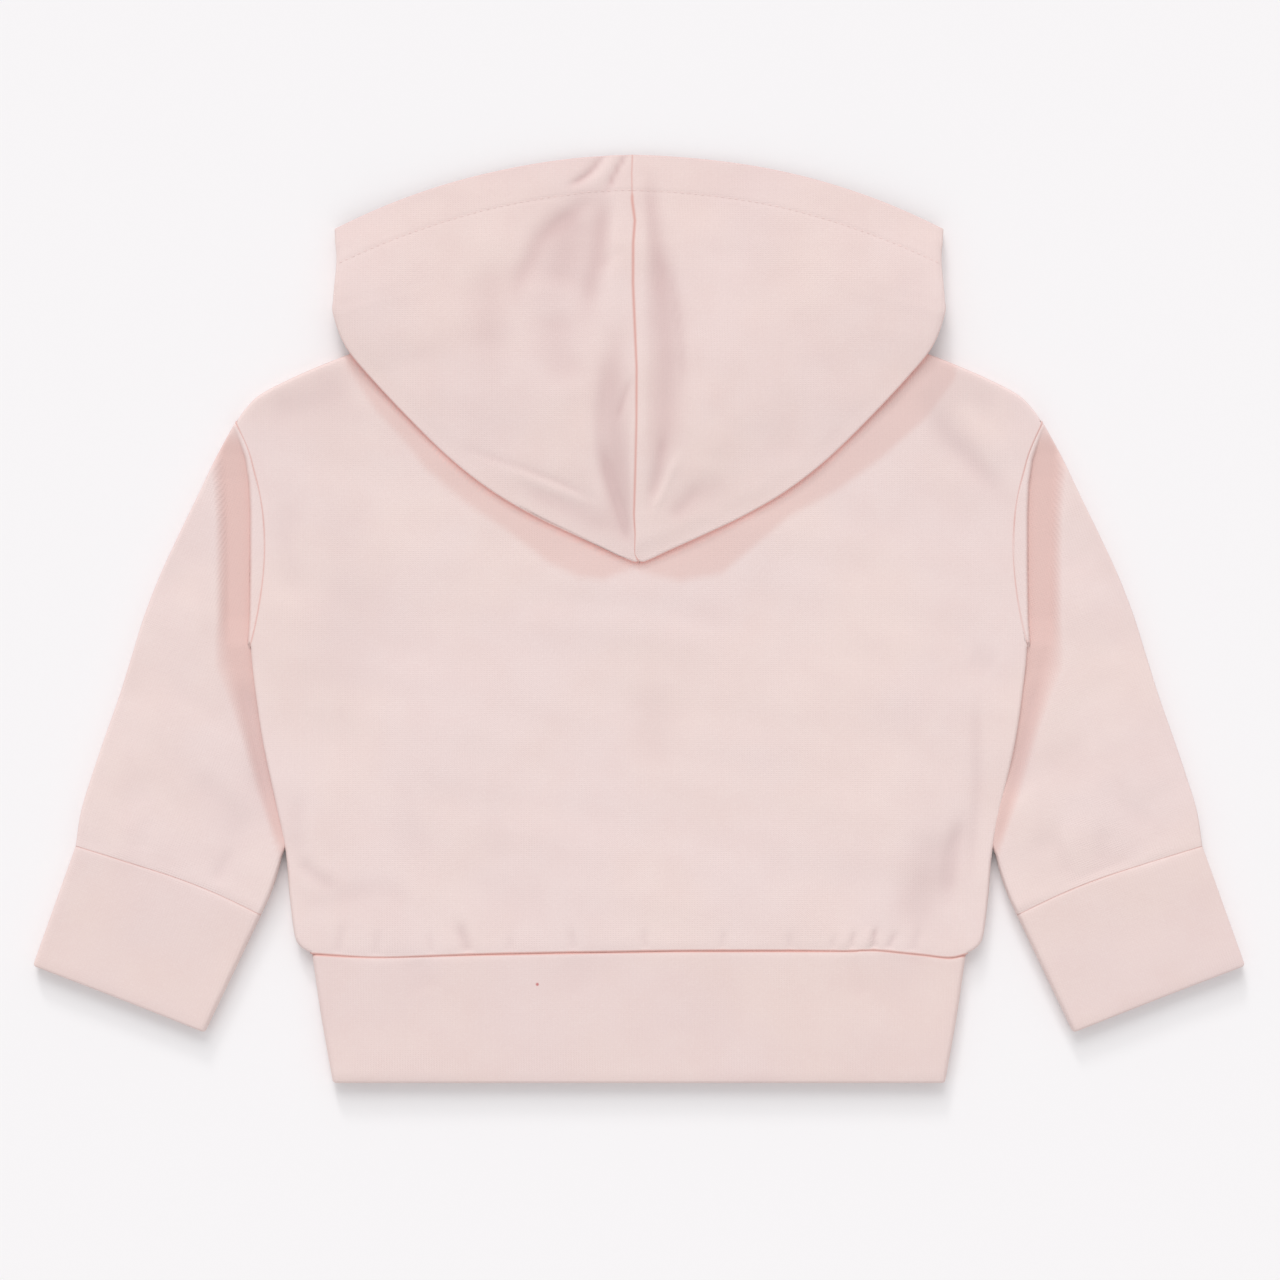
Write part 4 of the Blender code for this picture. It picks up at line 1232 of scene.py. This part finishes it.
    def dressed(self, points: Array, top: int, from_fold: Array, side: Side) -> tuple[Array, Array]:
        """Adds the hem's edge, the creases and the seam's valley to the upper layer.

        Args:
            points: the panel's points. top: the column where the upper layer starts. from_fold: distance
                of its points from the fold. side: which panel.

        Returns:
            The points, and the painted shade of each: in its folds, along the opening's edge, and a little
            more towards the opening.
        """
        above = points[:, top:]
        line_y, line_x = np.array(self.seam_line).T
        bend = np.interp(above[..., 1], line_y, line_x) * side.value
        bend = bend * (1 - smooth(np.abs(above[..., 0]) / 60.0))
        above[..., 0] += bend * smooth((above[..., 1] - self.tip) / 4.0)
        x, y = above[..., 0] * side.value, above[..., 1]
        creases = self.right_creases if side is Side.RIGHT else self.left_creases
        to_edge = reach(points, (Edge.LAST_ROW,))[:, top:]
        to_seam = reach(points, (Edge.LAST_COLUMN,))[:, top:]
        fade = smooth(from_fold / 9.0) * (0.72 + 0.28 * smooth(to_edge / 5.0))
        marked = relief(creases, x, y) * fade
        folds = marked + (swell(x, y, 0.22, 55.0, 51) + swell(x, y, 0.08, 18.0, 52)) * fade
        hem = self.hem_rise * (1 - smooth((to_edge - self.hem + 1.2) / 2.0))
        stitched = self.groove[0] * np.exp(-(((to_edge - self.hem) / self.groove[1]) ** 2))
        valley = self.seam_valley[0] * np.exp(-((to_seam / self.seam_valley[1]) ** 2))
        valley *= 1 - 0.6 * smooth((y - self.seam_fades) / 6.0)
        above[..., 2] += (folds + hem + stitched) * smooth(from_fold / 3.0) + valley * smooth(from_fold / 8.0)
        above[..., 2] = np.maximum(above[..., 2], 1.9 + self.wall / 2)
        points[:, top:] = above
        lap = self.lap * (1 - smooth(points[..., 0] / 40.0))
        points[..., 0] -= lap * smooth((points[..., 1] - self.tip) / 6.0)
        # Painted shade in the folds, along the opening's edge, and towards the opening, where the hood faces
        # the light.
        deep = np.zeros(points.shape[:2])
        deep[:, top:] = np.clip(0.1 * smooth((y - 140.0) / 40.0) - 0.5 * marked - 0.1 * folds
                                + 0.4 * (1 - smooth(to_edge / 1.1)), 0.0, 0.68)
        return points, deep

    def front_part(self, start: Array) -> Grid:
        """The rest of the under layer, in front of the neck, from the last spokes' necks onwards."""
        table = np.array(self.front)
        place = np.linspace(0.0, len(table), 6 * len(table) + 1)[1:]
        share = np.linspace(0.0, 1.0, len(start))
        ends = np.vstack([np.concatenate([start[0, :2], start[-1, :2]]), table])
        rows = np.column_stack([np.interp(place, np.arange(len(ends)), ends[:, k]) for k in range(4)])
        plan = rows[:, None, :2] * (1 - share[None, :, None]) + rows[:, None, 2:] * share[None, :, None]
        points = np.concatenate([start[None], np.dstack([plan, np.full(plan.shape[:2], self.wall / 2)])])
        edges = (Edge.LAST_ROW, Edge.FIRST_COLUMN, Edge.LAST_COLUMN)
        return Grid(points, points[..., :2].copy(), reach(points, edges), np.full(points.shape[:2], 9.0),
                    np.zeros(points.shape[:2]))

    def make(self, body: Body, finish: bpy.types.Material, thread: bpy.types.Material) -> None:
        """Builds both hood panels and the stitching of their hem."""
        for side in Side:
            grids, top = self.half(body, side)
            stitches = self.stitches(grids[0].points[:, top - 6:], side, thread)
            grids = [grid.on(side) for grid in grids]
            made_of = Cloth("jersey", self.wall, self.cut, finish)
            lay(f"hood_{side.word()}", made_of, grids, side is Side.RIGHT)

    def stitches(self, points: Array, side: Side, thread: bpy.types.Material) -> bpy.types.Object:
        """One row of stitches along the hem.

        Args:
            points: the upper layer's grid, with the fold's last columns. side: which panel.
            thread: the thread's material.

        Returns:
            The piece: short rounded tubes along the line where the distance from the opening's edge is
            the hem's width, each lying on the cloth with its ends sunk in.
        """
        to_edge = reach(points, (Edge.LAST_ROW,))
        row = np.array([np.interp(self.hem, to_edge[::-1, k], np.arange(len(points))[::-1])
                        for k in range(points.shape[1])])
        low = np.floor(row).astype(int)
        part = (row - low)[:, None]
        column = np.arange(points.shape[1])
        line = points[low, column] * (1 - part) + points[low + 1, column] * part
        name = f"hood_{side.word()}_stitching"
        return stitch_row(name, line * [side.value, 1.0, 1.0], self.wall / 2, thread)


# ------------------------------------------------------------------------------------ stitching


def stitch_row(name: str, line: Array, rise: float, thread: bpy.types.Material) -> bpy.types.Object:
    """Short stitches along a line of points on a cloth's middle surface.

    Args:
        name: the piece's name. line: points, (count, 3). rise: half of the cloth's wall. thread: the
            thread's material.

    Returns:
        The piece. Each stitch is a tube of 6 sides whose radius is r sqrt(1 - t^2) and whose height is
        that of a low arch, for t from -1 to 1 along it.
    """
    pitch, long, radius = 2.7, 1.7, 0.13
    count = int(length_of(line) / pitch)
    share = (np.arange(count) + 0.5) / count
    middle = at(line, share)
    ahead = at(line, np.clip(share + 0.5 / length_of(line), 0, 1))
    behind = at(line, np.clip(share - 0.5 / length_of(line), 0, 1))
    run = ahead - behind
    run /= np.linalg.norm(run, axis=1)[:, None]
    flat = np.cross([0.0, 0.0, 1.0], run)
    flat /= np.linalg.norm(flat, axis=1)[:, None]
    up = np.cross(run, flat)
    t = np.array([-1.0, -0.85, -0.45, 0.0, 0.45, 0.85, 1.0])
    angle = np.arange(6) * math.pi / 3
    size = radius * np.sqrt(np.maximum(1 - t**2, 0.0)) + 0.004
    base = middle[:, None, None] + up[:, None, None] * (rise + 0.07 * (1 - t**2) - 0.03)[None, :, None, None]
    ring = flat[:, None, None] * np.cos(angle)[None, None, :, None]
    ring = ring + up[:, None, None] * np.sin(angle)[None, None, :, None]
    points = base + run[:, None, None] * (t * long / 2)[None, :, None, None]
    points = points + ring * size[None, :, None, None]
    corner = np.arange(points.size // 3).reshape(count, len(t), 6)
    around = np.roll(corner, -1, axis=2)
    faces = np.stack([corner[:, :-1], around[:, :-1], around[:, 1:], corner[:, 1:]], axis=-1).reshape(-1, 4)
    caps = corner[:, 0, ::-1].tolist() + corner[:, -1].tolist()
    mesh = bpy.data.meshes.new(name)
    mesh.from_pydata((points.reshape(-1, 3) * MM).tolist(), [], faces.tolist() + caps)
    mesh.shade_smooth()
    piece = placed(name, mesh, thread)
    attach(piece, "root")
    LOG.info("%s: %d stitches", name, count)
    return piece


# ------------------------------------------------------------------------------------ setting


@dataclass(frozen=True)
class Setting:
    """The paper floor, the soft light and the camera straight above."""

    view_x: float = 0.4
    view_y: float = -8.5
    view_width: float = 512.0
    lens: float = 120.0
    keys: tuple[Row, ...] = ((0.55, 24, 10, 9), (0.95, 42, 9, 34))
    world_light: float = 0.595
    world_slope: float = 0.32
    floor_reach: float = 9.0
    floor_drop: float = 0.0003

    def make_floor(self) -> None:
        """A wide sheet of paper just under the garment, in metres."""
        mesh = bpy.data.meshes.new("floor")
        corners = [(x * self.floor_reach, y * self.floor_reach, -self.floor_drop)
                   for x, y in ((-1, -1), (1, -1), (1, 1), (-1, 1))]
        mesh.from_pydata(corners, [], [(0, 1, 2, 3)])
        placed("floor", mesh, FloorFinish().material())

    def make_light(self) -> None:
        """Two soft far keys from beyond the hood, slightly left, and even light all round.

        The columns of keys are power, height above the surface, turn to the left, and spread, in degrees.
        The even light grows towards the zenith as 1 + world_slope * z of its direction.
        """
        for number, (power, height, turn, spread) in enumerate(self.keys):
            lamp = bpy.data.lights.new(f"key_{number}", "SUN")
            lamp.energy = power
            lamp.angle = math.radians(spread)
            key = bpy.data.objects.new(f"key_{number}", lamp)
            key.rotation_euler = (math.radians(height - 90.0), 0.0, math.radians(turn))
            bpy.context.scene.collection.objects.link(key)
        world = bpy.data.worlds.new("studio")
        world.use_nodes = True
        tree = world.node_tree
        way = tree.nodes.new("ShaderNodeSeparateXYZ")
        tree.links.new(tree.nodes.new("ShaderNodeTexCoord").outputs["Generated"], way.inputs[0])
        level = tree.nodes.new("ShaderNodeMath")
        level.operation = "MULTIPLY_ADD"
        level.inputs[1].default_value = self.world_light * self.world_slope
        level.inputs[2].default_value = self.world_light
        tree.links.new(way.outputs[2], level.inputs[0])
        tree.links.new(level.outputs[0], tree.nodes["Background"].inputs[1])
        tree.nodes["Background"].inputs[0].default_value = (1.0, 0.995, 1.0, 1.0)
        bpy.context.scene.world = world
        bpy.context.scene.view_settings.view_transform = "Standard"

    def make_camera(self) -> None:
        """A long lens looking straight down, framed as the photograph is."""
        data = bpy.data.cameras.new("camera")
        data.lens = self.lens
        data.sensor_width = 36.0
        camera = bpy.data.objects.new("camera", data)
        height = self.view_width * self.lens / 36.0
        camera.location = (self.view_x * MM, self.view_y * MM, (height + 4.0) * MM)
        data.clip_start, data.clip_end = 0.05, 20.0
        bpy.context.scene.collection.objects.link(camera)
        bpy.context.scene.camera = camera


def main() -> None:
    logging.basicConfig(level=logging.INFO, format="%(message)s")
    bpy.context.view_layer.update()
    shell = JerseyFinish("pink jersey", (0.862, 0.709, 0.687, 1.0), (0.877, 0.717, 0.675, 1.0),
                         (0.80, 0.61, 0.59, 1.0), shadow=(0.66, 0.50, 0.495, 1.0)).material()
    # The hood's jersey is the same cloth painted a little darker: painted shade for the hood, which faces the
    # light.
    hood = JerseyFinish("pink jersey shaded for the hood", (0.848, 0.689, 0.665, 1.0), (0.862, 0.697, 0.654, 1.0),
                        (0.78, 0.587, 0.564, 1.0)).material()
    band = JerseyFinish("pink band jersey", (0.83, 0.675, 0.653, 1.0), (0.845, 0.685, 0.642, 1.0),
                        (0.775, 0.583, 0.558, 1.0), relief=0.4, fleck=(-40.6, -146.0)).material()
    thread = ThreadFinish().material()
    setting = Setting()
    setting.make_floor()
    body = Body()
    body.make_back(shell)
    body.make_fronts(shell)
    arms = Arms()
    arms.make_sleeves(body, shell)
    arms.make_cuffs(band)
    Waistband().make(body, band)
    Hood().make(body, hood, thread)
    setting.make_light()
    setting.make_camera()


if __name__ == "__main__":
    main()
